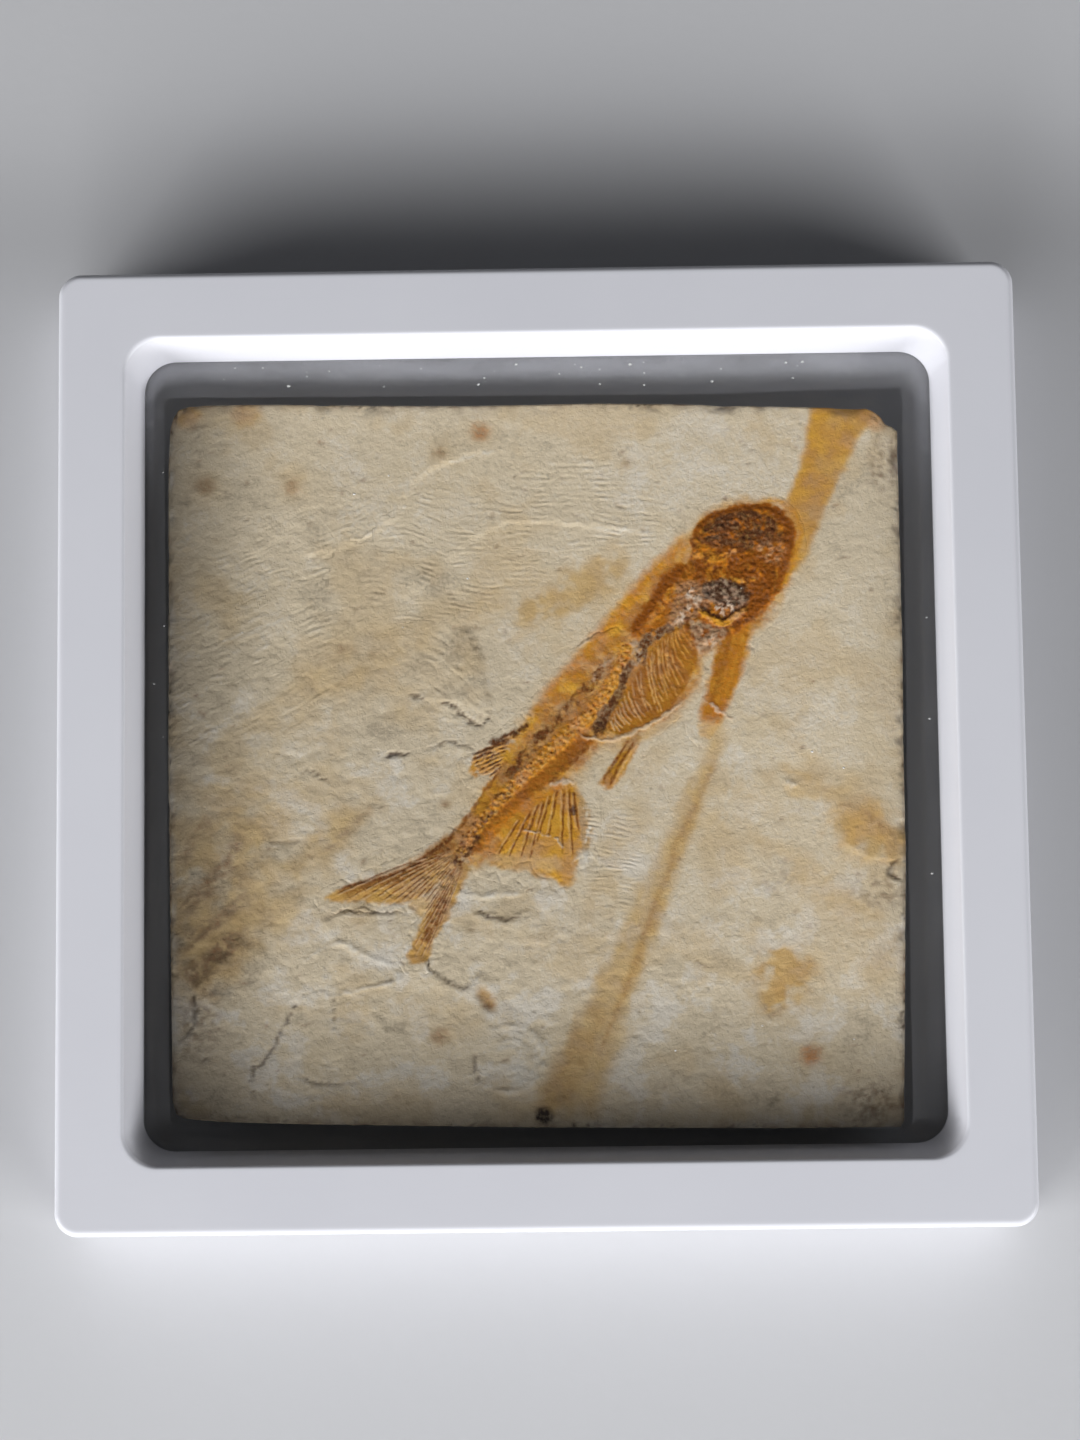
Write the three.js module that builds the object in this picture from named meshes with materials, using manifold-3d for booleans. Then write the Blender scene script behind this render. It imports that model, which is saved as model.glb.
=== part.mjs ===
// A fossil fish slab held between the two clear films of a square plastic display frame.
// Millimetres, +Z up. The frame lies on its back rim with its middle on the origin; +Y is
// the frame's top edge and the fish faces up, towards +Z.
import * as THREE from 'three';
import { mergeVertices } from 'three/addons/utils/BufferGeometryUtils.js';
import Module from 'manifold-3d';

const wasm = await Module();
wasm.setup();

// Display frame: two equal moulded halves that meet at mid depth.
const FRAME_SIDE = 180;
const FRAME_DEPTH = 20;
const FRAME_CORNER_RADIUS = 4.3;
const FRAME_EDGE_RADIUS = 1.2;
const SEAM_GAP = 0.3;
const SEAM_CHAMFER = 0.4;

// Window: its walls draw in from the face to the foot, where the film starts.
const WINDOW_FACE_HALF = 78.0;
const WINDOW_FACE_RADIUS = 6.9;
const WINDOW_EDGE_RADIUS = 0.8;
const WINDOW_FOOT_HALF = 74.8;
const WINDOW_FOOT_RADIUS = 6.0;

// Film: its rim sits in a shallow rebate round the foot of each half.
const FILM_THICKNESS = 0.3;
const FILM_CLEARANCE = 0.3;
const FILM_RIM_WIDTH = 4.0;

// Slab: a sawn plate, a little out of square, held clear of the frame.
const SLAB_BACK_Z = 6.1;
const SLAB_FACE_Z = 13.5;
const SLAB_CHAMFER = 0.4;
const FISH_HEIGHT = 0.4;
const FIN_HEIGHT = 0.2;
const RELIEF_ROOT = 0.6;

const CORNER_STEPS = 6;
const EDGE_STEPS = 3;
const FISH_OUTLINE_STEPS = 72;

const SEAM_Z = FRAME_DEPTH / 2;
const FILM_RIM_Z = SEAM_Z + SEAM_GAP / 2 + 0.05;
const REBATE_Z = FILM_RIM_Z + FILM_THICKNESS + FILM_CLEARANCE;
const FILM_OVER_SLAB_Z = SLAB_FACE_Z + FISH_HEIGHT + FILM_CLEARANCE;

// Slab outline, counter-clockwise from its lower left corner.
const SLAB_OUTLINE = [
  [-67.3, -68.7], [-60.2, -69.4], [-45.4, -70.0], [-23.2, -70.5], [-1.0, -71.1],
  [17.5, -71.4], [39.7, -71.7], [58.1, -71.8], [65.7, -71.8],
  [66.4, -70.6], [66.6, -63.0], [66.9, -52.0], [67.5, -37.0], [67.9, -20.0], [67.9, -3.5],
  [68.2, 17.0], [68.1, 34.0], [68.1, 51.0], [68.2, 58.9],
  [67.1, 59.8], [66.0, 60.2], [65.1, 61.7], [63.8, 62.8], [62.2, 63.4],
  [55.6, 63.6], [42.3, 64.1], [27.2, 64.7], [12.0, 65.1], [-3.1, 65.1],
  [-14.5, 65.0], [-25.9, 65.2], [-41.1, 65.5], [-52.5, 65.8], [-66.4, 65.8],
  [-68.1, 65.0], [-69.1, 63.5], [-69.7, 61.2],
  [-70.0, 53.0], [-70.0, 38.0], [-70.1, 20.0], [-70.0, -2.0], [-69.8, -19.0],
  [-69.5, -38.0], [-69.3, -54.0], [-69.1, -65.6], [-68.5, -67.8],
];

// Corners of the film's flat part, just outside the slab.
const FILM_FLAT_CORNERS = [[69.2, 64.8], [-71.1, 66.8], [-69.8, -70.1], [67.2, -72.4]];
const FILM_FLAT_RADIUS = 2.0;

// Fish: snout to the upper right, tail to the lower left.
const BODY_OUTLINE = [
  [-11.6, -25.0], [-4.0, -18.8], [3.0, -12.0], [7.5, -6.5], [10.5, -1.0], [16.0, 1.8],
  [22.5, 5.0], [30.0, 10.5], [36.7, 18.4], [43.0, 25.5], [46.3, 34.0], [47.2, 39.2],
  [43.8, 43.0], [39.5, 44.6], [33.5, 42.8], [28.6, 38.0], [19.0, 27.2], [11.4, 19.7],
  [3.8, 12.2], [-2.0, 4.7], [-7.7, -4.6], [-11.5, -12.1], [-16.0, -19.5], [-16.0, -24.0],
];
const TAIL_OUTLINE = [
  [-13.5, -18.5], [-20.0, -20.8], [-26.5, -23.7], [-33.0, -25.2], [-39.6, -28.2],
  [-36.5, -29.6], [-30.3, -29.0], [-23.0, -27.6], [-22.9, -32.5], [-24.4, -39.6],
  [-21.8, -39.0], [-19.5, -35.0], [-14.4, -28.0], [-10.5, -24.5],
];
const DORSAL_FIN_OUTLINE = [
  [-2.9, 4.0], [-6.2, 1.6], [-10.4, -0.7], [-13.3, -3.4], [-13.3, -5.3], [-7.2, -5.8], [-3.0, -1.0],
];
const ANAL_FIN_OUTLINE = [[-9.0, -20.5], [6.6, -26.4], [7.3, -7.5]];
const PELVIC_FIN = { root: [17.2, 3.2], tip: [11.9, -7.7], width: 3.4 };
const PECTORAL_FIN = { root: [39.2, 23.5], tip: [30.6, 2.6], width: 3.8 };

// Outward normal of the edge from one corner to the next, corners counter-clockwise.
function edgeNormal(from, to) {
  return new THREE.Vector2(to[1] - from[1], from[0] - to[0]).normalize();
}

// A level ring of points round four corners, each corner a true arc.
function cornerRing(corners, radius, z) {
  const ring = [];
  corners.forEach((corner, i) => {
    const before = edgeNormal(corners[(i + 3) % 4], corner);
    const after = edgeNormal(corner, corners[(i + 1) % 4]);
    const inset = before.clone().add(after).multiplyScalar(radius / (1 + before.dot(after)));
    const start = before.angle();
    const sweep = (after.angle() - start + 2 * Math.PI) % (2 * Math.PI);
    for (let step = 0; step <= CORNER_STEPS; step += 1) {
      const angle = start + (sweep * step) / CORNER_STEPS;
      const x = corner[0] - inset.x + radius * Math.cos(angle);
      const y = corner[1] - inset.y + radius * Math.sin(angle);
      ring.push(new THREE.Vector3(x, y, z));
    }
  });
  return ring;
}

function squareRing(half, radius, z) {
  return cornerRing([[half, half], [-half, half], [-half, -half], [half, -half]], radius, z);
}

function ringFace(ring) {
  const contour = ring.map((point) => new THREE.Vector2(point.x, point.y));
  return THREE.ShapeUtils.triangulateShape(contour, []);
}

function fromFaces(points, faces) {
  const geometry = new THREE.BufferGeometry();
  const positions = points.flatMap((point) => [point.x, point.y, point.z]);
  geometry.setAttribute('position', new THREE.Float32BufferAttribute(positions, 3));
  geometry.setIndex(faces.flat());
  geometry.computeVertexNormals();
  return geometry;
}

// Triangles between each ring and the next, for rings of equal length.
function bandFaces(rings, bands) {
  const count = rings[0].length;
  const faces = [];
  for (let band = 0; band < bands; band += 1) {
    const low = band * count;
    const high = ((band + 1) % rings.length) * count;
    for (let i = 0; i < count; i += 1) {
      const next = (i + 1) % count;
      faces.push([low + i, low + next, high + next]);
      faces.push([low + i, high + next, high + i]);
    }
  }
  return faces;
}

// A closed band whose last ring joins back to its first.
function endlessLoft(rings) {
  return fromFaces(rings.flat(), bandFaces(rings, rings.length));
}

// A closed body capped below its first ring and above its last.
function cappedLoft(rings) {
  const faces = bandFaces(rings, rings.length - 1);
  const last = (rings.length - 1) * rings[0].length;
  ringFace(rings[0]).forEach(([a, b, c]) => faces.push([a, c, b]));
  ringFace(rings.at(-1)).forEach(([a, b, c]) => faces.push([last + a, last + b, last + c]));
  return fromFaces(rings.flat(), faces);
}

function toSolid(geometry) {
  const plain = geometry.clone();
  plain.deleteAttribute('normal');
  plain.deleteAttribute('uv');
  const merged = mergeVertices(plain, 1e-4);
  const vertProperties = new Float32Array(merged.attributes.position.array);
  const triVerts = new Uint32Array(merged.index.array);
  return new wasm.Manifold(new wasm.Mesh({ numProp: 3, vertProperties, triVerts }));
}

function fromSolid(solid) {
  const { vertProperties, triVerts } = solid.getMesh();
  const geometry = new THREE.BufferGeometry();
  geometry.setAttribute('position', new THREE.Float32BufferAttribute(vertProperties, 3));
  geometry.setIndex([...triVerts]);
  geometry.computeVertexNormals();
  return geometry;
}

// Corner radius of the window at a given half width, between its foot and its face.
function windowRadius(half) {
  const share = (half - WINDOW_FOOT_HALF) / (WINDOW_FACE_HALF - WINDOW_FOOT_HALF);
  return WINDOW_FOOT_RADIUS + share * (WINDOW_FACE_RADIUS - WINDOW_FOOT_RADIUS);
}

// The front half of the frame: out from the seam, over the rim, down the window wall and
// back through the rebate that takes the film.
function frameHalf() {
  const half = FRAME_SIDE / 2;
  const seam = SEAM_Z + SEAM_GAP / 2;
  const outerRing = (inset, z) => squareRing(half - inset, FRAME_CORNER_RADIUS - inset, z);
  const windowRing = (at, z) => squareRing(at, windowRadius(at), z);
  const rings = [outerRing(SEAM_CHAMFER, seam), outerRing(0, seam + SEAM_CHAMFER)];
  for (let step = 0; step <= EDGE_STEPS; step += 1) {
    const angle = (Math.PI / 2) * (step / EDGE_STEPS);
    const inset = FRAME_EDGE_RADIUS * (1 - Math.cos(angle));
    rings.push(outerRing(inset, FRAME_DEPTH - FRAME_EDGE_RADIUS * (1 - Math.sin(angle))));
  }
  for (let step = 0; step <= EDGE_STEPS; step += 1) {
    const angle = (Math.PI / 2) * (step / EDGE_STEPS);
    const at = WINDOW_FACE_HALF - WINDOW_EDGE_RADIUS * Math.sin(angle);
    rings.push(windowRing(at, FRAME_DEPTH - WINDOW_EDGE_RADIUS * (1 - Math.cos(angle))));
  }
  const rebateHalf = WINDOW_FOOT_HALF + FILM_RIM_WIDTH;
  rings.push(windowRing(WINDOW_FOOT_HALF, REBATE_Z));
  rings.push(squareRing(rebateHalf, WINDOW_FACE_RADIUS, REBATE_Z));
  rings.push(squareRing(rebateHalf, WINDOW_FACE_RADIUS, seam));
  return endlessLoft(rings);
}

// The front film: a flat rim at the seam, a slope up to the slab and a flat part over it.
// Both of its faces are the same skin, so that they stay apart where the slope twists.
function frontFilm() {
  const rimHalf = WINDOW_FOOT_HALF + FILM_RIM_WIDTH - FILM_CLEARANCE;
  const footHalf = WINDOW_FOOT_HALF - 0.2;
  const rimTop = FILM_RIM_Z + FILM_THICKNESS;
  const rings = [
    squareRing(rimHalf, WINDOW_FACE_RADIUS, rimTop),
    squareRing(footHalf, WINDOW_FOOT_RADIUS, rimTop),
    cornerRing(FILM_FLAT_CORNERS, FILM_FLAT_RADIUS, FILM_OVER_SLAB_Z + FILM_THICKNESS),
  ];
  const count = rings[0].length;
  const skin = bandFaces(rings, rings.length - 1);
  const last = (rings.length - 1) * count;
  ringFace(rings.at(-1)).forEach(([a, b, c]) => skin.push([last + a, last + b, last + c]));
  const upper = rings.flat();
  const lower = upper.map((point) => new THREE.Vector3(point.x, point.y, point.z - FILM_THICKNESS));
  const faces = skin.flatMap(([a, b, c]) => {
    const shift = upper.length;
    return [[a, b, c], [a + shift, c + shift, b + shift]];
  });
  for (let i = 0; i < count; i += 1) {
    const next = (i + 1) % count;
    faces.push([upper.length + i, upper.length + next, next]);
    faces.push([upper.length + i, next, i]);
  }
  return fromFaces([...upper, ...lower], faces);
}

// The same film on the back of the seam, turned face for face so that it still faces out.
function backFilm() {
  const geometry = frontFilm().scale(1, 1, -1).translate(0, 0, FRAME_DEPTH);
  const turned = [];
  for (let i = 0; i < geometry.index.count; i += 3) {
    const [a, b, c] = [0, 1, 2].map((corner) => geometry.index.getX(i + corner));
    turned.push(a, c, b);
  }
  geometry.setIndex(turned);
  geometry.computeVertexNormals();
  return geometry;
}

function slabPlate() {
  const ringAt = (inset, z) => {
    const shrink = 1 - inset / (FRAME_SIDE / 2 - WINDOW_FOOT_RADIUS);
    return SLAB_OUTLINE.map(([x, y]) => new THREE.Vector3(x * shrink, y * shrink, z));
  };
  return cappedLoft([
    ringAt(SLAB_CHAMFER, SLAB_BACK_Z),
    ringAt(0, SLAB_BACK_Z + SLAB_CHAMFER),
    ringAt(0, SLAB_FACE_Z - SLAB_CHAMFER),
    ringAt(SLAB_CHAMFER, SLAB_FACE_Z),
  ]);
}

// A low relief with sloping sides, rooted in the slab.
function relief(outline, height) {
  const geometry = new THREE.ExtrudeGeometry(new THREE.Shape(outline), {
    depth: RELIEF_ROOT,
    bevelThickness: height,
    bevelSize: height,
    bevelOffset: -height,
    bevelSegments: 1,
  });
  return geometry.translate(0, 0, SLAB_FACE_Z - RELIEF_ROOT);
}

function smoothOutline(points) {
  const curve = new THREE.CatmullRomCurve3(
    points.map(([x, y]) => new THREE.Vector3(x, y, 0)), true, 'centripetal');
  return curve.getSpacedPoints(FISH_OUTLINE_STEPS).slice(0, -1)
    .map((point) => new THREE.Vector2(point.x, point.y));
}

function straightOutline(points) {
  return points.map(([x, y]) => new THREE.Vector2(x, y));
}

// A paired fin seen from its side: a strip that ends a third narrower than it starts.
function stripOutline({ root, tip, width }) {
  const start = new THREE.Vector2(...root);
  const end = new THREE.Vector2(...tip);
  const across = end.clone().sub(start).normalize().rotateAround(new THREE.Vector2(), Math.PI / 2);
  const rootSide = across.clone().multiplyScalar(width / 2);
  const tipSide = across.clone().multiplyScalar(width / 3);
  return [
    start.clone().sub(rootSide), end.clone().sub(tipSide),
    end.clone().add(tipSide), start.clone().add(rootSide),
  ];
}

function slabWithFish() {
  const fins = [
    straightOutline(TAIL_OUTLINE), straightOutline(DORSAL_FIN_OUTLINE),
    straightOutline(ANAL_FIN_OUTLINE), stripOutline(PELVIC_FIN), stripOutline(PECTORAL_FIN),
  ];
  let solid = toSolid(slabPlate());
  fins.forEach((outline) => {
    solid = solid.add(toSolid(relief(outline, FIN_HEIGHT)));
  });
  solid = solid.add(toSolid(relief(smoothOutline(BODY_OUTLINE), FISH_HEIGHT)));
  return fromSolid(solid);
}

const whitePlastic = new THREE.MeshStandardMaterial({ color: 0xe4e4e8, roughness: 0.35, metalness: 0 });
const clearFilm = new THREE.MeshStandardMaterial({
  color: 0xf4f6f8, roughness: 0.08, metalness: 0, transparent: true, opacity: 0.15 });
const paleStone = new THREE.MeshStandardMaterial({ color: 0xbeb29e, roughness: 0.8, metalness: 0 });

function named(name, geometry, material) {
  const mesh = new THREE.Mesh(geometry, material.clone());
  mesh.name = name;
  return mesh;
}

const group = new THREE.Group();

const backFrame = named('back_frame', frameHalf(), whitePlastic);
backFrame.rotation.x = Math.PI;
backFrame.position.z = FRAME_DEPTH;
group.add(backFrame);

group.add(named('front_frame', frameHalf(), whitePlastic));
group.add(named('back_film', backFilm(), clearFilm));
group.add(named('front_film', frontFilm(), clearFilm));
group.add(named('slab', slabWithFish(), paleStone));

export default group;
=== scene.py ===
"""A fossil fish slab, held between the two clear films of a white plastic display frame."""

import math

import bpy
import numpy as np
from bpy.props import FloatProperty, PointerProperty
from mathutils import Matrix, Vector


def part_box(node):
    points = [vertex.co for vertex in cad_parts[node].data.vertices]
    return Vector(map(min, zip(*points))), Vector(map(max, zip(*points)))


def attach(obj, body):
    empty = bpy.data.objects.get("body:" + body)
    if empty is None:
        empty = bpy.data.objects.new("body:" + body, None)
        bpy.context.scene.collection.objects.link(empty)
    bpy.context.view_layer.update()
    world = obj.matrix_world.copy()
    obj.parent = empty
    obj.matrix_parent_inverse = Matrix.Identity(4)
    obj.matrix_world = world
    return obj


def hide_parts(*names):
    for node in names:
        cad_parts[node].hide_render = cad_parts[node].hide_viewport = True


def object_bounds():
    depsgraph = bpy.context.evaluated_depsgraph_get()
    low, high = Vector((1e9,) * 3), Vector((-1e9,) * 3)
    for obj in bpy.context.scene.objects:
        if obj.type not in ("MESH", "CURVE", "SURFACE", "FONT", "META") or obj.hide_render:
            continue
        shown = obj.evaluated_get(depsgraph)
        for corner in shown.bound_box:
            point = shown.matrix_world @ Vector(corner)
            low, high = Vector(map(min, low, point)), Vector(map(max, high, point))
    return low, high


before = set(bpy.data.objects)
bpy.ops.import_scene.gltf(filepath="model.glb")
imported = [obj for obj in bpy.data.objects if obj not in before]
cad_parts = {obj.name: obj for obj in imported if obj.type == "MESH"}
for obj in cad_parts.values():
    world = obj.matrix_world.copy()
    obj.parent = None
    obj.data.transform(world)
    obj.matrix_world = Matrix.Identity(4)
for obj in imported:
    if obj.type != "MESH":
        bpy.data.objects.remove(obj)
CAD_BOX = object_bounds()

bl_info = {
    "name": "Fossil fish slab",
    "version": (1, 0, 0),
    "blender": (4, 5, 0),
    "location": "3D View > Sidebar > Fossil slab",
    "description": "Builds the display frame, its films and the limestone slab with the fish in it",
    "category": "Object",
}

MM = 0.001

# Frame profile, in millimetres.
OUTER_RADIUS = 4.3
OUTER_ROUNDING = 1.2
WINDOW_FACE_HALF = 78.0
WINDOW_FACE_RADIUS = 6.9
WINDOW_ROUNDING = 0.8
WINDOW_FOOT_HALF = 74.8
WINDOW_FOOT_RADIUS = 6.0
REBATE_WIDTH = 4.0
REBATE_HEIGHT = 10.8
SEAM_HALF_GAP = 0.04
SEAM_CHAMFER = 0.35
EASE = 0.4
CORNER_STEPS = 14
ROUNDING_STEPS = 8
SHARP_EDGE = 40  # degrees

# Film, in millimetres.
FILM_THICKNESS = 0.12
FILM_RIM_HEIGHT = 10.5
FILM_FLAT_HEIGHT = 14.12
FILM_CORNERS = [(68.9, 64.4), (-70.9, 66.4), (-69.4, -70.0), (67.0, -72.2)]
FILM_CORNER_RADIUS = 1.6
FILM_SIDE_STEPS = 18
FILM_SLOPE_STEPS = 6
FILM_FOOT_GAP = 0.25
FILM_FLAT_SHARES = (0.985, 0.9, 0.75, 0.55, 0.3, 0.1)
FILM_SAG = 0.22
FILM_SHINE = 0.028
FILM_GLANCE = 0.5

# Slab and fish: sizes in millimetres, the rest are counts.
SLAB_BACK = 6.1
SLAB_FACE = 13.5
SLAB_COLUMNS = 205
SLAB_ROWS = 355
SLAB_SIDE_LEVELS = 6
SLAB_BACK_RINGS = 28
FACE_DROP = 0.25
BACK_LUMPS = 0.1
EDGE_WEAR = 0.34
FISH_SPACING = 0.185
FISH_BLOCK = 4
FISH_MARGIN = 2.4
FISH_DIP = 0.35
FISH_RIM_SINK = 0.16
FISH_RISE = 0.19
FISH_DEPTH = 0.8
RIPPLE_RIM = 8.0
GRAIN_SIZE = 0.8

SLAB_BOTTOM = [(-67.3, -68.7), (-60.2, -69.4), (-45.4, -70), (-1, -71.1), (39.7, -71.7), (65.7, -71.8)]
SLAB_RIGHT = [(65.7, -71.8), (66.4, -70.6), (67.9, -20), (67.9, -3.5), (68.2, 17), (68.2, 58.9)]
SLAB_TOP = [(-69.7, 61.2), (-69.1, 63.5), (-68.1, 65), (-66.4, 65.8), (-52.5, 65.8), (-14.5, 65),
            (12, 65.1), (27.2, 64.7), (62.2, 63.4), (63.8, 62.8), (65.1, 61.7), (66, 60.2), (67.1, 59.8),
            (68.2, 58.9)]
SLAB_LEFT = [(-67.3, -68.7), (-68.5, -67.8), (-69.1, -65.6), (-70, -2), (-70, 53), (-69.7, 61.2)]

# What a point of the stone carries: six stains, its tone from -1, dark, to 1, light, the share of saw marks,
# the share and place of ripple crests, and its painted shade. The tone also holds painted light and shade:
# lighter and darker zones, and darker lines at the foot of ledges.
STAINS = ("tan", "ochre", "rust", "umber", "soot", "pale", "tone", "cut", "ripple", "crest", "painted_shade")

# Camera and lamps.
CAMERA_PLACE = (0.00718, -0.06349, 0.61312)
CAMERA_TURNS = (0.11314, 0.01354, -0.01343)
CAMERA_LENS = 80.4
LAMP_DISTANCE = 2.2
LAMP_SIZE = (1.5, 0.8)
LAMPS = [
    # name, turn to the left of the frame's lower edge in degrees, share of the power
    ("front_lamp", 20, 0.225),
    ("left_lamp", 58, 0.44),
    ("right_lamp", -54, 0.37),
]
FLOOR_SIDE = 3.0


# ---------------------------------------------------------------- settings


class FossilSettings(bpy.types.PropertyGroup):
    """What can be turned up or down before the pieces are built."""

    relief: FloatProperty(
        name="Relief", description="How strongly the stone's relief stands out", default=1.0,
        min=0.0, max=2.0)
    staining: FloatProperty(
        name="Staining", description="How strong the mineral stains are", default=1.0,
        min=0.0, max=1.5)
    film_gloss: FloatProperty(
        name="Film roughness", description="Roughness of the clear film's shine", default=0.03,
        min=0.0, max=1.0)
    lamp_power: FloatProperty(
        name="Lamp power", description="Power of the large soft lamps together", default=100.0,
        min=0.0, unit="POWER")
    lamp_height: FloatProperty(
        name="Lamp height", description="Angle of the lamps above the floor", default=math.radians(22),
        min=0.0, max=math.pi / 2, subtype="ANGLE")
    fill_light: FloatProperty(
        name="Fill light", description="Strength of the even light from all round", default=0.06,
        min=0.0)


def settings():
    """The settings of the scene at hand."""
    return bpy.context.scene.fossil_slab


# ---------------------------------------------------------------- noise and lines


def smooth_step(low, high, value):
    """0 at low, 1 at high and a soft curve between."""
    share = np.clip((value - low) / (high - low), 0.0, 1.0)
    return share * share * (3.0 - 2.0 * share)


def noise(x, y, size, seed):
    """Smooth noise from -1 to 1 whose bumps are about size across."""
    x = x / size + 31.7 * seed
    y = y / size - 17.3 * seed
    left = np.floor(x).astype(np.int64)
    low = np.floor(y).astype(np.int64)
    across = x - left
    up = y - low

    def corner(right, top):
        """What the slope at one corner of each cell gives at the points in it."""
        key = (left + right) * 374761393 + (low + top) * 668265263 + seed * 974634777
        key = (key ^ (key >> 13)) * 1274126177
        angle = ((key ^ (key >> 16)) & 65535) * (2 * math.pi / 65536)
        return np.cos(angle) * (across - right) + np.sin(angle) * (up - top)

    ease_x = across ** 3 * (across * (across * 6 - 15) + 10)
    ease_y = up ** 3 * (up * (up * 6 - 15) + 10)
    below = corner(0, 0) * (1 - ease_x) + corner(1, 0) * ease_x
    above = corner(0, 1) * (1 - ease_x) + corner(1, 1) * ease_x
    return 1.5 * (below * (1 - ease_y) + above * ease_y)


def rough(x, y, size, seed, layers=4, fade=0.5):
    """Several layers of noise, each half the size of the one before."""
    total = np.zeros_like(x)
    weight = 1.0
    for layer in range(layers):
        total += weight * noise(x, y, size / 2 ** layer, seed + layer)
        weight *= fade
    return total


def smooth_line(points, closed=False, steps=5):
    """A smooth line through the points, with this many steps between each two."""
    points = np.asarray(points, float)
    if len(points) < 3:
        return points
    if closed:
        padded = np.vstack([points[-1:], points, points[:2]])
    else:
        padded = np.vstack([2 * points[0] - points[1], points, 2 * points[-1] - points[-2]])
    line = []
    for a, b, c, d in zip(padded[:-3], padded[1:-2], padded[2:-1], padded[3:]):
        for step in range(steps):
            t = step / steps
            line.append(0.5 * (2 * b + (c - a) * t + (2 * a - 5 * b + 4 * c - d) * t ** 2
                               + (3 * b - 3 * c + d - a) * t ** 3))
    if not closed:
        line.append(points[-1])
    return np.array(line)


def measure(x, y, line):
    """For each point: how far from the line, how far along it, and 1 on its left or -1 on its right."""
    best = np.full(x.shape, np.inf)
    along = np.zeros_like(x)
    side = np.ones_like(x)
    lengths = np.hypot(*np.diff(line, axis=0).T)
    starts = np.concatenate([[0.0], np.cumsum(lengths)])
    for (ax, ay), (bx, by), length, start in zip(line[:-1], line[1:], lengths, starts):
        if length < 1e-9:
            continue
        ux = (bx - ax) / length
        uy = (by - ay) / length
        reach = np.clip((x - ax) * ux + (y - ay) * uy, 0.0, length)
        px = x - ax - reach * ux
        py = y - ay - reach * uy
        away = px * px + py * py
        closer = away < best
        best[closer] = away[closer]
        along[closer] = (start + reach[closer]) / starts[-1]
        side[closer] = np.sign(ux * py[closer] - uy * px[closer])
    return np.sqrt(best), along, side


def inside(x, y, line):
    """True for the points within the closed line."""
    found = np.zeros(x.shape, bool)
    for (ax, ay), (bx, by) in zip(line, np.roll(line, -1, axis=0)):
        if ay == by:
            continue
        crossing = (ay > y) != (by > y)
        found ^= crossing & (x < (bx - ax) * (y - ay) / (by - ay) + ax)
    return found


def depth_inside(x, y, line):
    """Distance into the closed line, below zero outside it."""
    away = measure(x, y, np.vstack([line, line[:1]]))[0]
    return np.where(inside(x, y, line), away, -away)


def fade_ends(along, ends):
    """1 along most of a line, falling to 0 within a share of its length at each end."""
    if not ends:
        return np.ones_like(along)
    return smooth_step(0, ends, along) * smooth_step(0, ends, 1 - along)


# ---------------------------------------------------------------- marks on the stone


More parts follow.
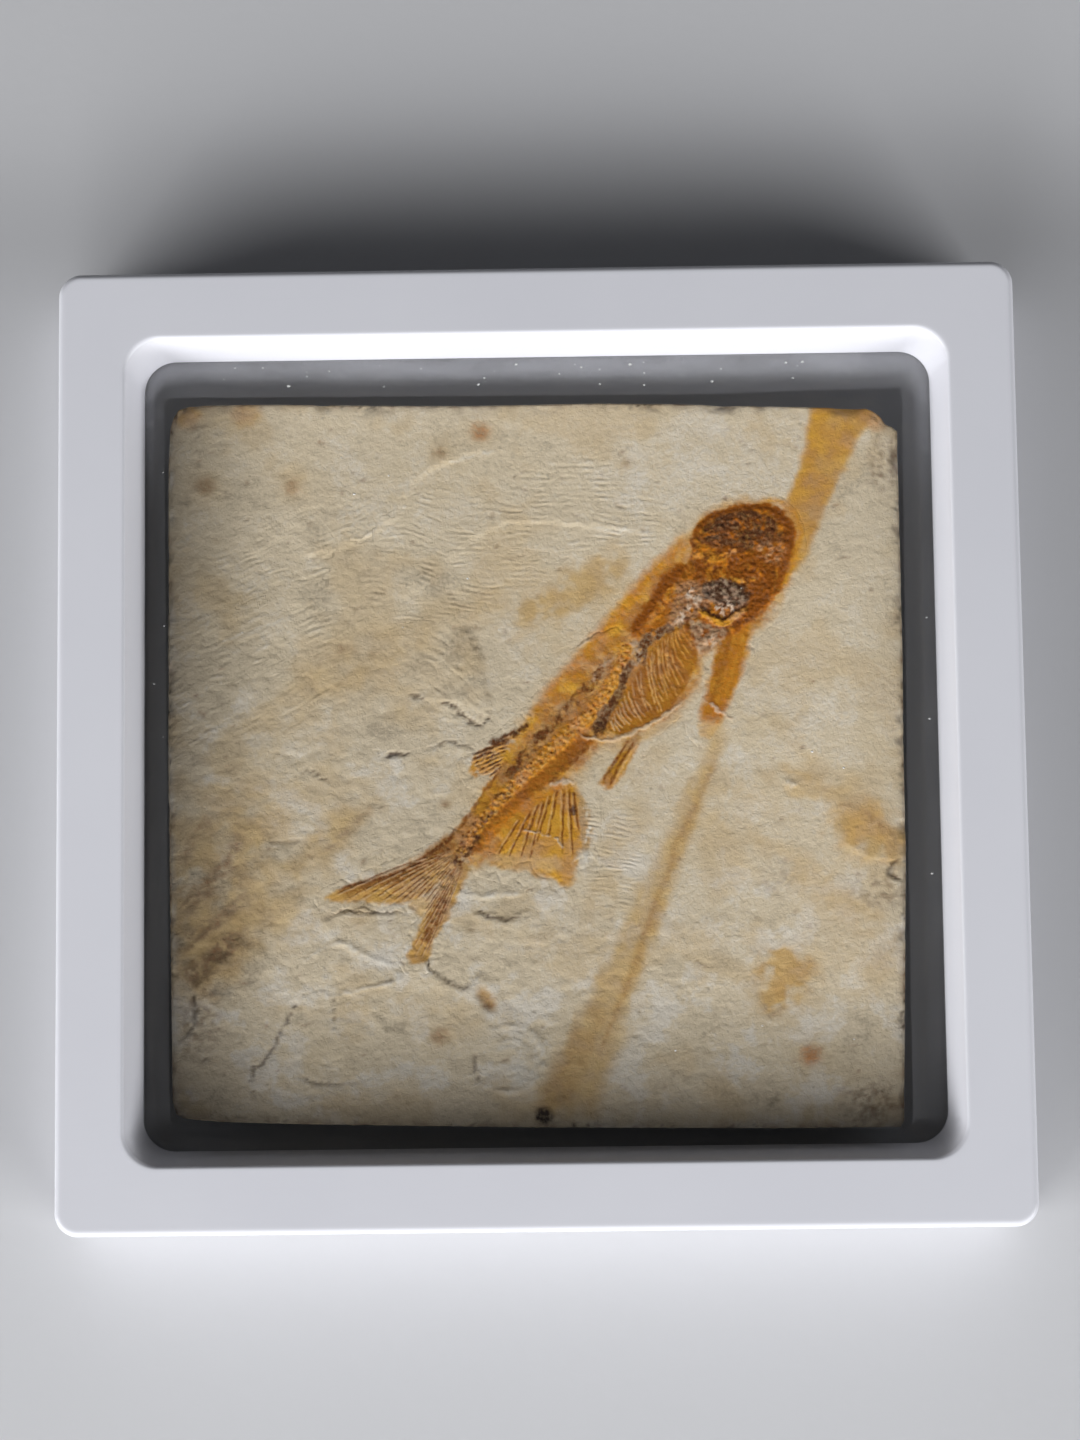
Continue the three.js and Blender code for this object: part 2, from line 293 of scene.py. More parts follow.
class Ground:
    """Points of the stone's face seen from above, in millimetres, with the height and stains at each.

    Every mark is laid on the marks before it, and each has its own noise. soft is the width of its
    blurred rim, ragged the size and reach of the noise that bends its edge, broken the level of the
    noise that breaks it up, crumb the size of that noise, and grain the height of its roughness.
    """

    def __init__(self, x, y):
        self.x = x
        self.y = y
        self.height = np.zeros_like(x)
        self.stains = {name: np.zeros_like(x) for name in STAINS}
        self.marks = 0

    def spots(self, line, reach):
        """The points within reach of the line's bounds, and this mark's noise number."""
        self.marks += 1
        low = line.min(0) - reach
        high = line.max(0) + reach
        near = (self.x > low[0]) & (self.x < high[0]) & (self.y > low[1]) & (self.y < high[1])
        return np.flatnonzero(near), 7 * self.marks

    def bent(self, spot, ragged, seed):
        """The places of the given points, moved a little by noise so that edges come out ragged."""
        x = self.x[spot]
        y = self.y[spot]
        size, amount = ragged
        return x + amount * rough(x, y, size, seed, 3), y + amount * rough(x, y, size, seed + 3, 3)

    def lay(self, spot, share, seed, strength=1.0, lift=0.0, broken=0.0, crumb=1.4, grain=0.0, **stains):
        """Raise the stone by lift and bring its stains to the given amounts, each as far as share says."""
        share = strength * share
        if broken:
            wave = 0.5 + 0.5 * rough(self.x[spot], self.y[spot], crumb, seed + 1, 3)
            share = share * smooth_step(broken - 0.22, broken + 0.22, wave)
        self.height[spot] += lift * share
        if grain:
            self.height[spot] += grain * share * rough(self.x[spot], self.y[spot], GRAIN_SIZE, seed + 2, 2)
        for name, amount in stains.items():
            held = self.stains[name]
            held[spot] += (amount - held[spot]) * share

    def stroke(self, points, width, soft=0.8, ends=0.08, ragged=(1.4, 0.4), **making):
        """A band along a line: a crack, ridge, ray or streak. width is one number, or several along it."""
        line = smooth_line(points)
        widths = np.atleast_1d(np.asarray(width, float))
        spot, seed = self.spots(line, widths.max() / 2 + soft + ragged[1])
        if not spot.size:
            return
        away, along, _side = measure(*self.bent(spot, ragged, seed), line)
        half = 0.5 * np.interp(along, np.linspace(0, 1, len(widths)), widths)
        share = 1 - smooth_step(half - soft / 2, half + soft / 2, away)
        share *= fade_ends(along, ends)
        self.lay(spot, share, seed, **making)

    def region(self, outline, soft=1.0, ragged=(1.4, 0.4), **making):
        """An area within a smooth closed outline."""
        line = smooth_line(outline, closed=True)
        spot, seed = self.spots(line, soft + ragged[1])
        if not spot.size:
            return
        depth = depth_inside(*self.bent(spot, ragged, seed), line)
        self.lay(spot, smooth_step(-soft / 2, soft / 2, depth), seed, **making)

    def blot(self, centre, radii, turn=0.0, soft=0.5, ragged=(1.4, 0.4), **making):
        """A round or oval area; turn is in degrees and soft is a share of its radius."""
        radii = np.broadcast_to(np.asarray(radii, float), 2)
        spot, seed = self.spots(np.array([centre]), radii.max() * (1 + soft) + ragged[1])
        if not spot.size:
            return
        x, y = self.bent(spot, ragged, seed)
        angle = math.radians(turn)
        across = (x - centre[0]) * math.cos(angle) + (y - centre[1]) * math.sin(angle)
        up = (y - centre[1]) * math.cos(angle) - (x - centre[0]) * math.sin(angle)
        share = 1 - smooth_step(1 - soft, 1 + soft, np.hypot(across / radii[0], up / radii[1]))
        self.lay(spot, share, seed, **making)

    def ledge(self, points, drop, reach, shade=0.0, sharp=0.35, ends=0.12):
        """A broken edge of a layer: the stone on the line's left stands higher and falls away from it. shade
        is a painted shade, a darker line in the tone at the foot of the step.
        """
        line = smooth_line(points)
        spot, seed = self.spots(line, 3 * reach)
        if not spot.size:
            return
        away, along, side = measure(*self.bent(spot, (2.5, 0.5), seed), line)
        signed = away * side
        ended = fade_ends(along, ends)
        step = smooth_step(-sharp / 2, sharp / 2, signed) * np.exp(-np.maximum(signed, 0) / reach)
        self.height[spot] += drop * step * ended
        # painted shade: the foot of the step darkened in the stone's tone
        self.stains["tone"][spot] -= shade * ended * np.exp(-((signed + sharp / 2) / (0.8 * sharp)) ** 2)

    def ripples(self, outline, turn, pitch, height, broken):
        """Low waves in the stone whose crests run at the given turn, in degrees."""
        line = smooth_line(outline, closed=True)
        spot, seed = self.spots(line, RIPPLE_RIM)
        if not spot.size:
            return
        x = self.x[spot]
        y = self.y[spot]
        depth = depth_inside(x, y, line) + 2.5 * rough(x, y, 9, seed, 3)
        share = smooth_step(-RIPPLE_RIM / 2, RIPPLE_RIM / 2, depth)
        angle = math.radians(turn)
        across = x * math.cos(angle) + y * math.sin(angle)
        up = y * math.cos(angle) - x * math.sin(angle)
        phase = up / pitch + 1.1 * noise(across, up, 11.0, seed)
        phase += 0.30 * noise(across, up * 1.3, 3.4, seed + 1)
        wave = np.sin(2 * math.pi * phase)
        streak = smooth_step(-0.3 + broken, 0.5 + broken, noise(across / 1.9, up, 1.5, seed + 2))
        streak *= smooth_step(-0.6, 0.3, noise(x, y, 8.0, seed + 5))
        full = share
        share = full * (0.1 + 0.9 * streak)
        self.height[spot] += height * share * wave
        stronger = full > self.stains["ripple"][spot]
        kept = spot[stronger]
        self.stains["ripple"][kept] = share[stronger]
        self.stains["crest"][kept] = phase[stronger]


# ---------------------------------------------------------------- meshes


def new_piece(name, points, faces, material, smooth=True):
    """A mesh object from points in millimetres and arrays of faces, one array for each number of corners."""
    mesh = bpy.data.meshes.new(name)
    sizes = np.concatenate([np.full(len(group), group.shape[1]) for group in faces])
    loops = np.concatenate([group.ravel() for group in faces])
    starts = np.concatenate([[0], np.cumsum(sizes)[:-1]])
    mesh.vertices.add(len(points))
    mesh.vertices.foreach_set("co", (np.asarray(points) * MM).astype(np.float32).ravel())
    mesh.loops.add(len(loops))
    mesh.loops.foreach_set("vertex_index", loops.astype(np.int32))
    mesh.polygons.add(len(sizes))
    mesh.polygons.foreach_set("loop_start", starts.astype(np.int32))
    mesh.polygons.foreach_set("use_smooth", np.full(len(sizes), smooth))
    mesh.update(calc_edges=True)
    if mesh.validate():
        raise RuntimeError(f"the mesh of {name} has faults")
    mesh.materials.append(material)
    piece = bpy.data.objects.new(name, mesh)
    bpy.context.scene.collection.objects.link(piece)
    return piece


def store(piece, name, values):
    """Keep a number for each point of the piece, for its material to read."""
    layer = piece.data.attributes.new(name, "FLOAT", "POINT")
    layer.data.foreach_set("value", np.asarray(values, np.float32))


def edge_normal(start, end):
    """Which way the side from start to end of a counter-clockwise outline faces."""
    normal = np.array([end[1] - start[1], start[0] - end[0]])
    return normal / np.hypot(*normal)


def rounded_ring(corners, radius, height, side_steps=1):
    """A level ring round four corners, counter-clockwise, each corner an arc."""
    corners = np.asarray(corners, float)
    arcs = []
    for index, corner in enumerate(corners):
        before = edge_normal(corners[index - 1], corner)
        after = edge_normal(corner, corners[(index + 1) % 4])
        inset = (before + after) * radius / (1 + before @ after)
        start = math.atan2(before[1], before[0])
        sweep = (math.atan2(after[1], after[0]) - start) % (2 * math.pi)
        angles = start + sweep * np.linspace(0, 1, CORNER_STEPS + 1)
        arcs.append(corner - inset + radius * np.column_stack([np.cos(angles), np.sin(angles)]))
    ring = []
    for index, arc in enumerate(arcs):
        onward = arcs[(index + 1) % 4][0]
        ring.append(arc)
        for step in range(1, side_steps):
            ring.append(arc[-1:] + (onward - arc[-1:]) * step / side_steps)
    flat = np.vstack(ring)
    return np.column_stack([flat, np.full(len(flat), height)])


def square_ring(half, radius, height, side_steps=1):
    """A level rounded square about the middle; half is half its side."""
    corners = [(half, half), (-half, half), (-half, -half), (half, -half)]
    return rounded_ring(corners, radius, height, side_steps)


def band_faces(count, low, high):
    """Four-sided faces between the rings that start at points low and high."""
    here = np.arange(count)
    onward = (here + 1) % count
    return np.column_stack([low + here, low + onward, high + onward, high + here])


def ring_faces(above, below):
    """Four-sided faces between two closed rings, given the numbers of their points."""
    return np.column_stack([np.roll(above, -1), above, below, np.roll(below, -1)])


# ---------------------------------------------------------------- materials


class Surface:
    """A material's node tree, built one node at a time."""

    def __init__(self, name):
        self.material = bpy.data.materials.new(name)
        self.material.use_nodes = True
        self.tree = self.material.node_tree
        self.tree.nodes.clear()
        self.place = self.node("ShaderNodeTexCoord").outputs["Object"]

    def node(self, kind, **values):
        """A new node of the given kind, with its own options set."""
        node = self.tree.nodes.new(kind)
        for name, value in values.items():
            setattr(node, name, value)
        return node

    def feed(self, socket, value):
        """Give a socket another socket's output or a fixed value."""
        if isinstance(value, bpy.types.NodeSocket):
            self.tree.links.new(value, socket)
        else:
            socket.default_value = value

    def noise(self, size, detail=3.0, roughness=0.55, stretch=None):
        """Noise from 0 to 1 with bumps about size metres across."""
        texture = self.node("ShaderNodeTexNoise")
        place = self.place
        if stretch:
            mapping = self.node("ShaderNodeMapping")
            self.feed(mapping.inputs["Vector"], self.place)
            mapping.inputs["Scale"].default_value = stretch
            place = mapping.outputs["Vector"]
        self.feed(texture.inputs["Vector"], place)
        texture.inputs["Scale"].default_value = 1 / size
        texture.inputs["Detail"].default_value = detail
        texture.inputs["Roughness"].default_value = roughness
        return texture.outputs["Fac"]

    def number(self, operation, a, b=0.0, c=0.0, clamp=False):
        """One step of arithmetic on sockets or numbers."""
        node = self.node("ShaderNodeMath", operation=operation, use_clamp=clamp)
        for socket, value in zip(node.inputs, (a, b, c)):
            self.feed(socket, value)
        return node.outputs[0]

    def between(self, value, low, high, start=0.0, end=1.0):
        """value's run from low to high, moved to run from start to end."""
        node = self.node("ShaderNodeMapRange", interpolation_type="SMOOTHSTEP")
        names = ("Value", "From Min", "From Max", "To Min", "To Max")
        for name, given in zip(names, (value, low, high, start, end)):
            self.feed(node.inputs[name], given)
        return node.outputs["Result"]

    def blend(self, share, first, second, mode="MIX"):
        """A colour between first and second."""
        node = self.node("ShaderNodeMix", data_type="RGBA", blend_type=mode)
        self.feed(node.inputs[0], share)
        self.feed(node.inputs[6], first)
        self.feed(node.inputs[7], second)
        return node.outputs[2]

    def held(self, name):
        """The number that each point of the piece holds under this name."""
        return self.node("ShaderNodeAttribute", attribute_name=name).outputs["Fac"]

    def bump(self, height, distance, strength=1.0):
        """A surface direction tilted by the given height, whose full run is distance metres deep."""
        node = self.node("ShaderNodeBump")
        node.inputs["Strength"].default_value = strength
        node.inputs["Distance"].default_value = distance
        self.feed(node.inputs["Height"], height)
        return node.outputs["Normal"]

    def principled(self, **values):
        """Finish with one all-round shader; an underscore stands for a space in its socket names."""
        shader = self.node("ShaderNodeBsdfPrincipled")
        for name, value in values.items():
            self.feed(shader.inputs[name.replace("_", " ")], value)
        return self.finish(shader.outputs[0])

    def mixed(self, share, first, second):
        """A shader between first and second."""
        node = self.node("ShaderNodeMixShader")
        for socket, value in zip(node.inputs, (share, first, second)):
            self.feed(socket, value)
        return node.outputs[0]

    def finish(self, shader):
        """Join the shader to the material's output and hand the material over."""
        output = self.node("ShaderNodeOutputMaterial")
        self.feed(output.inputs["Surface"], shader)
        return self.material


def colour(red, green, blue):
    """A solid colour for a node's socket."""
    return (red, green, blue, 1.0)


def white_plastic():
    """Satin moulded plastic with a very fine grain and faint handling marks."""
    surface = Surface("moulded_plastic")
    cloud = surface.noise(0.03, 3.0)
    grain = surface.noise(0.0004, 2.0)
    scuffs = surface.noise(0.006, 5.0, 0.7, stretch=(1.0, 6.0, 1.0))
    shade = surface.blend(cloud, colour(0.73, 0.73, 0.775), colour(0.78, 0.78, 0.82))
    shade = surface.blend(surface.between(scuffs, 0.62, 0.8, 0.0, 0.25), shade, colour(0.68, 0.68, 0.71))
    gloss = surface.between(scuffs, 0.3, 0.8, 0.36, 0.5)
    return surface.principled(
        Base_Color=shade, Roughness=gloss, Normal=surface.bump(grain, 0.00001, 0.5))


def clear_film():
    """Thin stretched film: clear, with a shine that grows towards a glancing view."""
    surface = Surface("stretched_film")
    clear = surface.node("ShaderNodeBsdfTransparent")
    haze = surface.noise(0.012, 4.0)
    tint = surface.blend(haze, colour(0.985, 0.985, 0.98), colour(0.97, 0.972, 0.975))
    surface.feed(clear.inputs["Color"], tint)
    shine = surface.node("ShaderNodeBsdfGlossy")
    shine.inputs["Roughness"].default_value = settings().film_gloss
    glance = surface.node("ShaderNodeLayerWeight").outputs["Facing"]
    fresnel = surface.number("POWER", glance, 5.0)
    fresnel = surface.number("MULTIPLY_ADD", fresnel, FILM_GLANCE, FILM_SHINE, clamp=True)
    mixed = surface.mixed(fresnel, clear.outputs[0], shine.outputs[0])
    veil = surface.node("ShaderNodeBsdfDiffuse")
    veil.inputs["Color"].default_value = colour(0.80, 0.80, 0.84)
    smear = surface.noise(0.008, 5.0, 0.65, stretch=(0.4, 1.0, 1.0))
    streaks = surface.between(smear, 0.3, 0.7, 0.09, 0.22)
    dusty = surface.number("MULTIPLY", surface.held("dusty"), streaks)
    return surface.finish(surface.mixed(dusty, mixed, veil.outputs[0]))


STONE = "stained_limestone"
STONE_SHEEN = 0.2
STONE_BUMP = 0.0002
STONE_STAINS = [
    # name, darker and lighter colour, whether it follows the fine grain, whether the setting turns it up
    ("tan", (0.65, 0.41, 0.15), (0.87, 0.64, 0.33), False, True),
    ("ochre", (0.82, 0.31, 0.010), (1.0, 0.53, 0.06), False, True),
    ("rust", (0.44, 0.075, 0.0), (1.0, 0.31, 0.004), True, True),
    ("umber", (0.095, 0.022, 0.001), (0.27, 0.075, 0.006), True, True),
    ("soot", (0.012, 0.007, 0.005), (0.07, 0.036, 0.020), True, False),
    ("pale", (0.86, 0.77, 0.62), (0.97, 0.92, 0.82), False, False),
]
FLAKE_STEPS = [
    # low and high end of each small step in the tooth, and its rise
    (0.42, 0.47, 0.10),
    (0.54, 0.59, 0.12),
]


def stained(surface, shade, name, colours, grain, strength):
    """Lay one stain over a colour, thicker and thinner with the grain."""
    amount = surface.number("MULTIPLY", surface.held(name), surface.between(grain, 0.28, 0.72, 0.62, 1.35))
    amount = surface.number("MULTIPLY", amount, strength, clamp=True)
    own = surface.blend(surface.between(grain, 0.3, 0.7), *colours)
    return surface.blend(amount, shade, own)


def stone_colour(surface, cloud, mottle, grain, wave):
    """Bare stone from dark to light by its tone, with painted light and shade on the ripples, then its
    stains, its saw marks and the painted shade on its left side and foot.
    """
    level = surface.number("ADD", surface.held("tone"), surface.between(cloud, 0.3, 0.7, -0.16, 0.16))
    level = surface.number("ADD", level, surface.between(mottle, 0.3, 0.7, -0.16, 0.16))
    level = surface.number("ADD", level, surface.between(grain, 0.25, 0.75, -0.22, 0.22))
    # Painted light and shade of the ripples: crests lighter and troughs darker in the colour, over the real
    # waves in the relief.
    level = surface.number("MULTIPLY_ADD", wave, 0.20, level)
    dark = colour(0.15, 0.122, 0.090)
    shade = surface.blend(surface.between(level, -1.6, 0.0), dark, colour(0.91, 0.765, 0.545))
    shade = surface.blend(surface.between(level, -0.1, 0.8), shade, colour(0.99, 0.90, 0.76))
    shade = surface.blend(surface.between(cloud, 0.5, 0.72, 0.0, 0.35), shade, colour(0.82, 0.64, 0.38))
    speck = surface.noise(0.0013, 2.0, 0.5)
    shade = surface.blend(surface.between(speck, 0.68, 0.76, 0.0, 0.4), shade, colour(0.36, 0.29, 0.20))
    for name, darker, lighter, fine, adjustable in STONE_STAINS:
        colours = (colour(*darker), colour(*lighter))
        strength = settings().staining if adjustable else 1.0
        shade = stained(surface, shade, name, colours, grain if fine else mottle, strength)
    saw = surface.noise(0.0012, 3.0, 0.6, stretch=(1.0, 1.0, 5.0))
    sawn = surface.blend(surface.between(saw, 0.35, 0.7), colour(0.33, 0.27, 0.19), colour(0.62, 0.53, 0.38))
    shade = surface.blend(surface.held("cut"), shade, sawn)
    # Painted shade: the stone's colour is multiplied darker on its left side and its foot.
    return surface.blend(surface.held("painted_shade"), shade, colour(0.04, 0.038, 0.042), mode="MULTIPLY")


def stone_relief(surface, grain, wave):
    """The height of the stone's finest texture: ripple crests, a small stepped tooth and grain."""
    tooth = surface.noise(0.0017, 4.0, 0.62)
    relief = surface.number("MULTIPLY_ADD", wave, 0.22, surface.number("MULTIPLY", tooth, 0.35))
    relief = surface.number("MULTIPLY_ADD", grain, 0.6, relief)
    for low, high, rise in FLAKE_STEPS:
        relief = surface.number("ADD", relief, surface.between(tooth, low, high, 0.0, rise))
    return surface.bump(relief, STONE_BUMP, 0.9)


def limestone():
    """Pale fine-grained stone with iron and manganese stains."""
    if STONE in bpy.data.materials:
        return bpy.data.materials[STONE]
    surface = Surface(STONE)
    cloud = surface.noise(0.019, 4.0, 0.55)
    mottle = surface.noise(0.0042, 5.0, 0.6)
    grain = surface.noise(0.0007, 3.0, 0.6)
    crest = surface.number("SINE", surface.number("MULTIPLY", surface.held("crest"), 2 * math.pi))
    wave = surface.number("MULTIPLY", crest, surface.held("ripple"))
    return surface.principled(
        Base_Color=stone_colour(surface, cloud, mottle, grain, wave),
        Roughness=surface.between(surface.held("rust"), 0.0, 1.0, 0.85, 0.5),
        Specular_IOR_Level=STONE_SHEEN, Normal=stone_relief(surface, grain, wave))


def pale_floor():
    """Matt pale grey paint."""
    surface = Surface("floor_paint")
    cloud = surface.noise(0.4, 3.0)
    grain = surface.noise(0.002, 3.0)
    shade = surface.blend(cloud, colour(0.60, 0.60, 0.61), colour(0.64, 0.64, 0.65))
    return surface.principled(
        Base_Color=shade, Roughness=surface.between(grain, 0.3, 0.7, 0.6, 0.75),
        Normal=surface.bump(grain, 0.00005, 0.4))


def dust_lint():
    """Grey fluff."""
    surface = Surface("dust_lint")
    grain = surface.noise(0.0005, 2.0)
    shade = surface.blend(grain, colour(0.62, 0.62, 0.60), colour(0.85, 0.85, 0.84))
    return surface.principled(Base_Color=shade, Roughness=0.9)


# ---------------------------------------------------------------- the slab's own marks

FLAKES = [
    # size of the flaked areas, how often they step, step height, noise number
    (24, 0.34, 0.055, 83),
    (8, 0.46, 0.025, 89),
]

WORN_LAYERS = [
    # a step in the stone: line, drop, reach, and the painted shade at its foot
    ([(-53.9, 36.5), (-50.8, 39.1), (-48.1, 40.6)], 0.22, 4, 0.2),
    ([(-47.1, 36.4), (-41.9, 36.8), (-35.5, 38.8), (-28.2, 42.5), (-23.4, 50.4), (-16, 54.6),
      (-7.6, 56.6)], 0.3, 6, 0.15),
    ([(-28.3, 26), (-20.9, 31.7), (-14, 38), (-7.7, 41.6), (0.2, 42.6), (9.2, 41.4), (21.7, 40.2)], 0.22,
     5, 0.1),
    ([(-11.2, 4.1), (-9.7, 5.8), (-9.9, 9.5), (-12.1, 19.5), (-14.6, 23.2)], 0.38, 8, 0.15),
    ([(-19.3, 8.7), (-15.1, 6.3), (-10.9, 4.1)], 0.3, 4, 0.2),
    ([(-68.7, 55.9), (-62.9, 60.9), (-57.6, 64.3)], 0.16, 2.5, 0.3),
    ([(-67.6, 52.6), (-62.1, 58.2), (-58, 60.4)], 0.12, 2, 0.2),
    ([(-1.9, -30.5), (-5.2, -31.8), (-8.5, -32.1), (-12.6, -30.5)], 0.3, 3, 0.5),
    ([(-11.2, -41.8), (-14.8, -44.9), (-21, -41.7), (-21.5, -39.1)], 0.28, 3, 0.4),
    ([(-56.1, -34.6), (-61.8, -41.7), (-65.5, -44.8)], 0.35, 4, 0.4),
    ([(-30, -30.9), (-36, -30.4), (-42, -33)], 0.22, 3, 0.2),
    ([(59, 55.3), (62, 59.3), (64.6, 61.1)], 0.35, 2, 0.3),
    ([(54.5, -15.8), (58, -21), (66.8, -22.7)], 0.25, 3, 0.3),
    ([(43, 8), (41, -2), (37, -12), (33, -24)], 0.12, 6, 0),
]

CRACKS = [
    # line, width, depth, darkness
    ([(-24.9, 10.4), (-22, 8.8)], 0.7, 0.25, 0.75),
    ([(-19, 8.2), (-16.9, 8), (-13.3, 4.8), (-10.7, 4.2), (-9.4, 6)], 0.75, 0.32, 0.9),
    ([(-29.2, -2.1), (-27.4, -1.3), (-24.3, -1.3)], 0.8, 0.25, 0.85),
    ([(-21.2, -0.2), (-17, 0.9), (-15.1, 0.2), (-12.3, -0.3)], 0.5, 0.2, 0.6),
    ([(-45.2, -5.3), (-43.1, -4), (-39.4, -6.9)], 0.5, 0.2, 0.6),
    ([(6.2, 18), (9.5, 20.4), (13.8, 22.1), (16.1, 21.5)], 0.4, 0.15, 0.4),
    ([(-50.9, -17.5), (-44.2, -17.6)], 0.5, 0.15, 0.4),
    ([(-38, -30.4), (-31.8, -31), (-26.6, -31), (-25, -32.2)], 0.6, 0.2, 0.6),
    ([(-39.1, -46.6), (-39.4, -49.2), (-38.9, -52.8)], 0.5, 0.22, 0.6),
    ([(-47.9, -47.3), (-46.3, -48.1), (-48.4, -51.7), (-50, -55.3), (-52.6, -58.8), (-54.1, -59.8),
      (-54.4, -62.4), (-53.6, -66)], 0.55, 0.22, 0.65),
    ([(-46.4, -60.2), (-42.8, -62.5), (-37.1, -62.6)], 0.5, 0.2, 0.55),
    ([(-12.6, -30.8), (-8.5, -32.4), (-3.8, -32.3), (-2.3, -31.3)], 0.6, 0.25, 0.75),
    ([(-21.5, -39.1), (-21, -41.9), (-14.8, -45.2), (-11.2, -42)], 0.45, 0.2, 0.5),
    ([(-65.2, -45.3), (-64.9, -49.9), (-67, -54.5)], 0.8, 0.3, 0.75),
    ([(-13.1, -57.2), (-12.9, -60.3), (-11.9, -62.9)], 0.6, 0.22, 0.6),
    ([(66.8, -21.6), (64.7, -24.7), (67.2, -26.3)], 0.9, 0.35, 0.8),
]

PALE_RIDGES = [
    # line, width, height
    ([(-15.4, -27.8), (-11, -28.1), (-3.8, -27.7)], 0.9, 0.25),
    ([(-45.8, -41.4), (-43.7, -39.1), (-40.1, -37.1), (-37, -36.6), (-34.9, -37.9), (-28.2, -41.1),
      (-27.4, -43.7), (-33.9, -45.2), (-38.1, -46.1), (-39.4, -47.4)], 0.7, 0.28),
    ([(-17, 54), (-12.3, 55.3), (-7.6, 56.3)], 0.6, 0.15),
    ([(9.2, 41.4), (13.9, 40.8), (21.7, 40.2)], 0.6, 0.12),
    ([(46.1, -6.9), (46.9, -7.9), (48.4, -8.2)], 1.2, 0.3),
    ([(-30.9, -41.8), (-28.8, -43.4), (-28.6, -45.2)], 0.8, 0.22),
    ([(38.4, 3), (36.3, -6.5), (33.2, -15.5)], 0.5, 0.08),
    ([(-60.5, 20.2), (-53.8, 22.4), (-46, 25.4)], 0.5, 0.1),
]

SPOTS = [
    # x, y, radius, rust, umber
    (-10.7, 59.9, 1.6, 0.45, 0.35), (-18.6, 55.9, 1.1, 0, 0.55), (-63, 50.1, 1.7, 0, 0.5),
    (-46.5, 49.8, 1.4, 0.1, 0.35), (-19.4, -54.1, 1.5, 0.1, 0.42), (49.4, -58.4, 1.7, 0.6, 0.3),
    (-17.9, -10.9, 0.7, 0, 0.6), (16.7, 53.5, 0.7, 0, 0.5), (-37.2, 18.8, 1, 0, 0.4),
    (-31.5, 17.6, 0.8, 0, 0.4), (-34.4, -31.7, 1.5, 0, 0.15), (62.7, -41.2, 2, 0, 0.12),
]

TAN_CLOUDS = [
    # x, y, half the length, half the width, turn, strength
    (4.5, 28, 11.5, 4, 28, 0.95), (7.5, 29, 5, 2.4, 40, 0.7), (12.5, 33, 5, 3.4, 50, 0.81),
    (-2, 30.5, 3.5, 1.2, 0, 0.48), (-9, 27, 7, 3, 30, 0.25), (-34, 16, 13, 5, 18, 0.25),
    (10.7, -29.2, 6, 3, 70, 0.36), (15.5, -16, 7, 3.5, 60, 0.28), (20, -3.5, 5, 2.4, 20, 0.25),
    (61, -17, 7.2, 4.8, -25, 1), (49.5, -8.2, 7.5, 2.4, -18, 0.6), (45, -45, 7.5, 6.5, 30, 0.42),
    (-61, -24, 11, 17, -30, 0.57), (-55, -12, 8, 7, -30, 0.36), (-63, -38, 8, 9, -20, 0.54),
    (-39, -16, 9, 2.6, 38, 0.42), (-24, -47, 6, 4, 20, 0.2), (-46, -33, 8, 4, 35, 0.2),
    (-24, 15, 12, 8, 30, 0.2), (-14, 16, 3, 8, 10, 0.24), (36, -14, 10, 8, 0, 0.17),
    (52, -27, 16, 3, -38, 0.42), (56, -8, 11, 3, -35, 0.3), (55, -36, 10, 12, 0, 0.17),
]

TONE_CLOUDS = [
    # x, y, half the length, half the width, turn, how much lighter or, below 0, darker
    (-61, -24, 11, 17, -30, -0.47), (-63, -38, 8, 9, -20, -0.72), (-24, 15, 12, 8, 30, -0.23),
    (-14, 16, 3, 8, 10, -0.3), (47, -20, 14, 2.4, -38, 0.2), (-3, -36, 9, 7, 0, 0.25),
    (26, -32, 7, 9, 0, 0.2), (-22, -52, 9, 6, 0, 0.16),
]

DARK_STREAKS = [
    # line, greatest width, how dark
    ([(-61.8, -12.2), (-65.5, -17.3), (-67.5, -22.5)], 2, 0.35),
    ([(-56.1, -15.9), (-59.8, -22.6), (-63.9, -27.2), (-68.1, -30.3)], 2.6, 0.41),
    ([(-55, -26.5), (-60, -31.5), (-67.5, -36)], 3, 0.3),
    ([(-56.5, -34), (-61.5, -39.5), (-67.5, -43)], 4, 0.5),
    ([(-58, -19.6), (-62.5, -24.5), (-68, -27)], 1.2, 0.48),
    ([(-57.5, -29), (-62, -33.4), (-68, -38.4)], 1.4, 0.48),
    ([(-31.6, -10.5), (-34.8, -14.6), (-39.5, -18.7), (-44.2, -20.7)], 1.8, 0.29),
    ([(54.5, -11.5), (60.5, -13.6), (67, -19.5)], 1.2, 0.36),
    ([(45, -49.6), (42.6, -50.6), (40.8, -49.8)], 1.6, 0.27),
    ([(47, -40.4), (49.4, -41.2), (51.2, -42)], 1.4, 0.32),
]

GRITTY = [
    # centre, radii, strength
    ((65.5, 52.5), (2.6, 5), 0.8),
    ((62.8, -28.3), (5, 3.4), 0.6),
    ((43.5, -26), (3.5, 3), 0.4),
    ((60.6, -66.8), (6, 3.4), 0.8),
    ((-64, -50), (4, 8), 0.6),
]

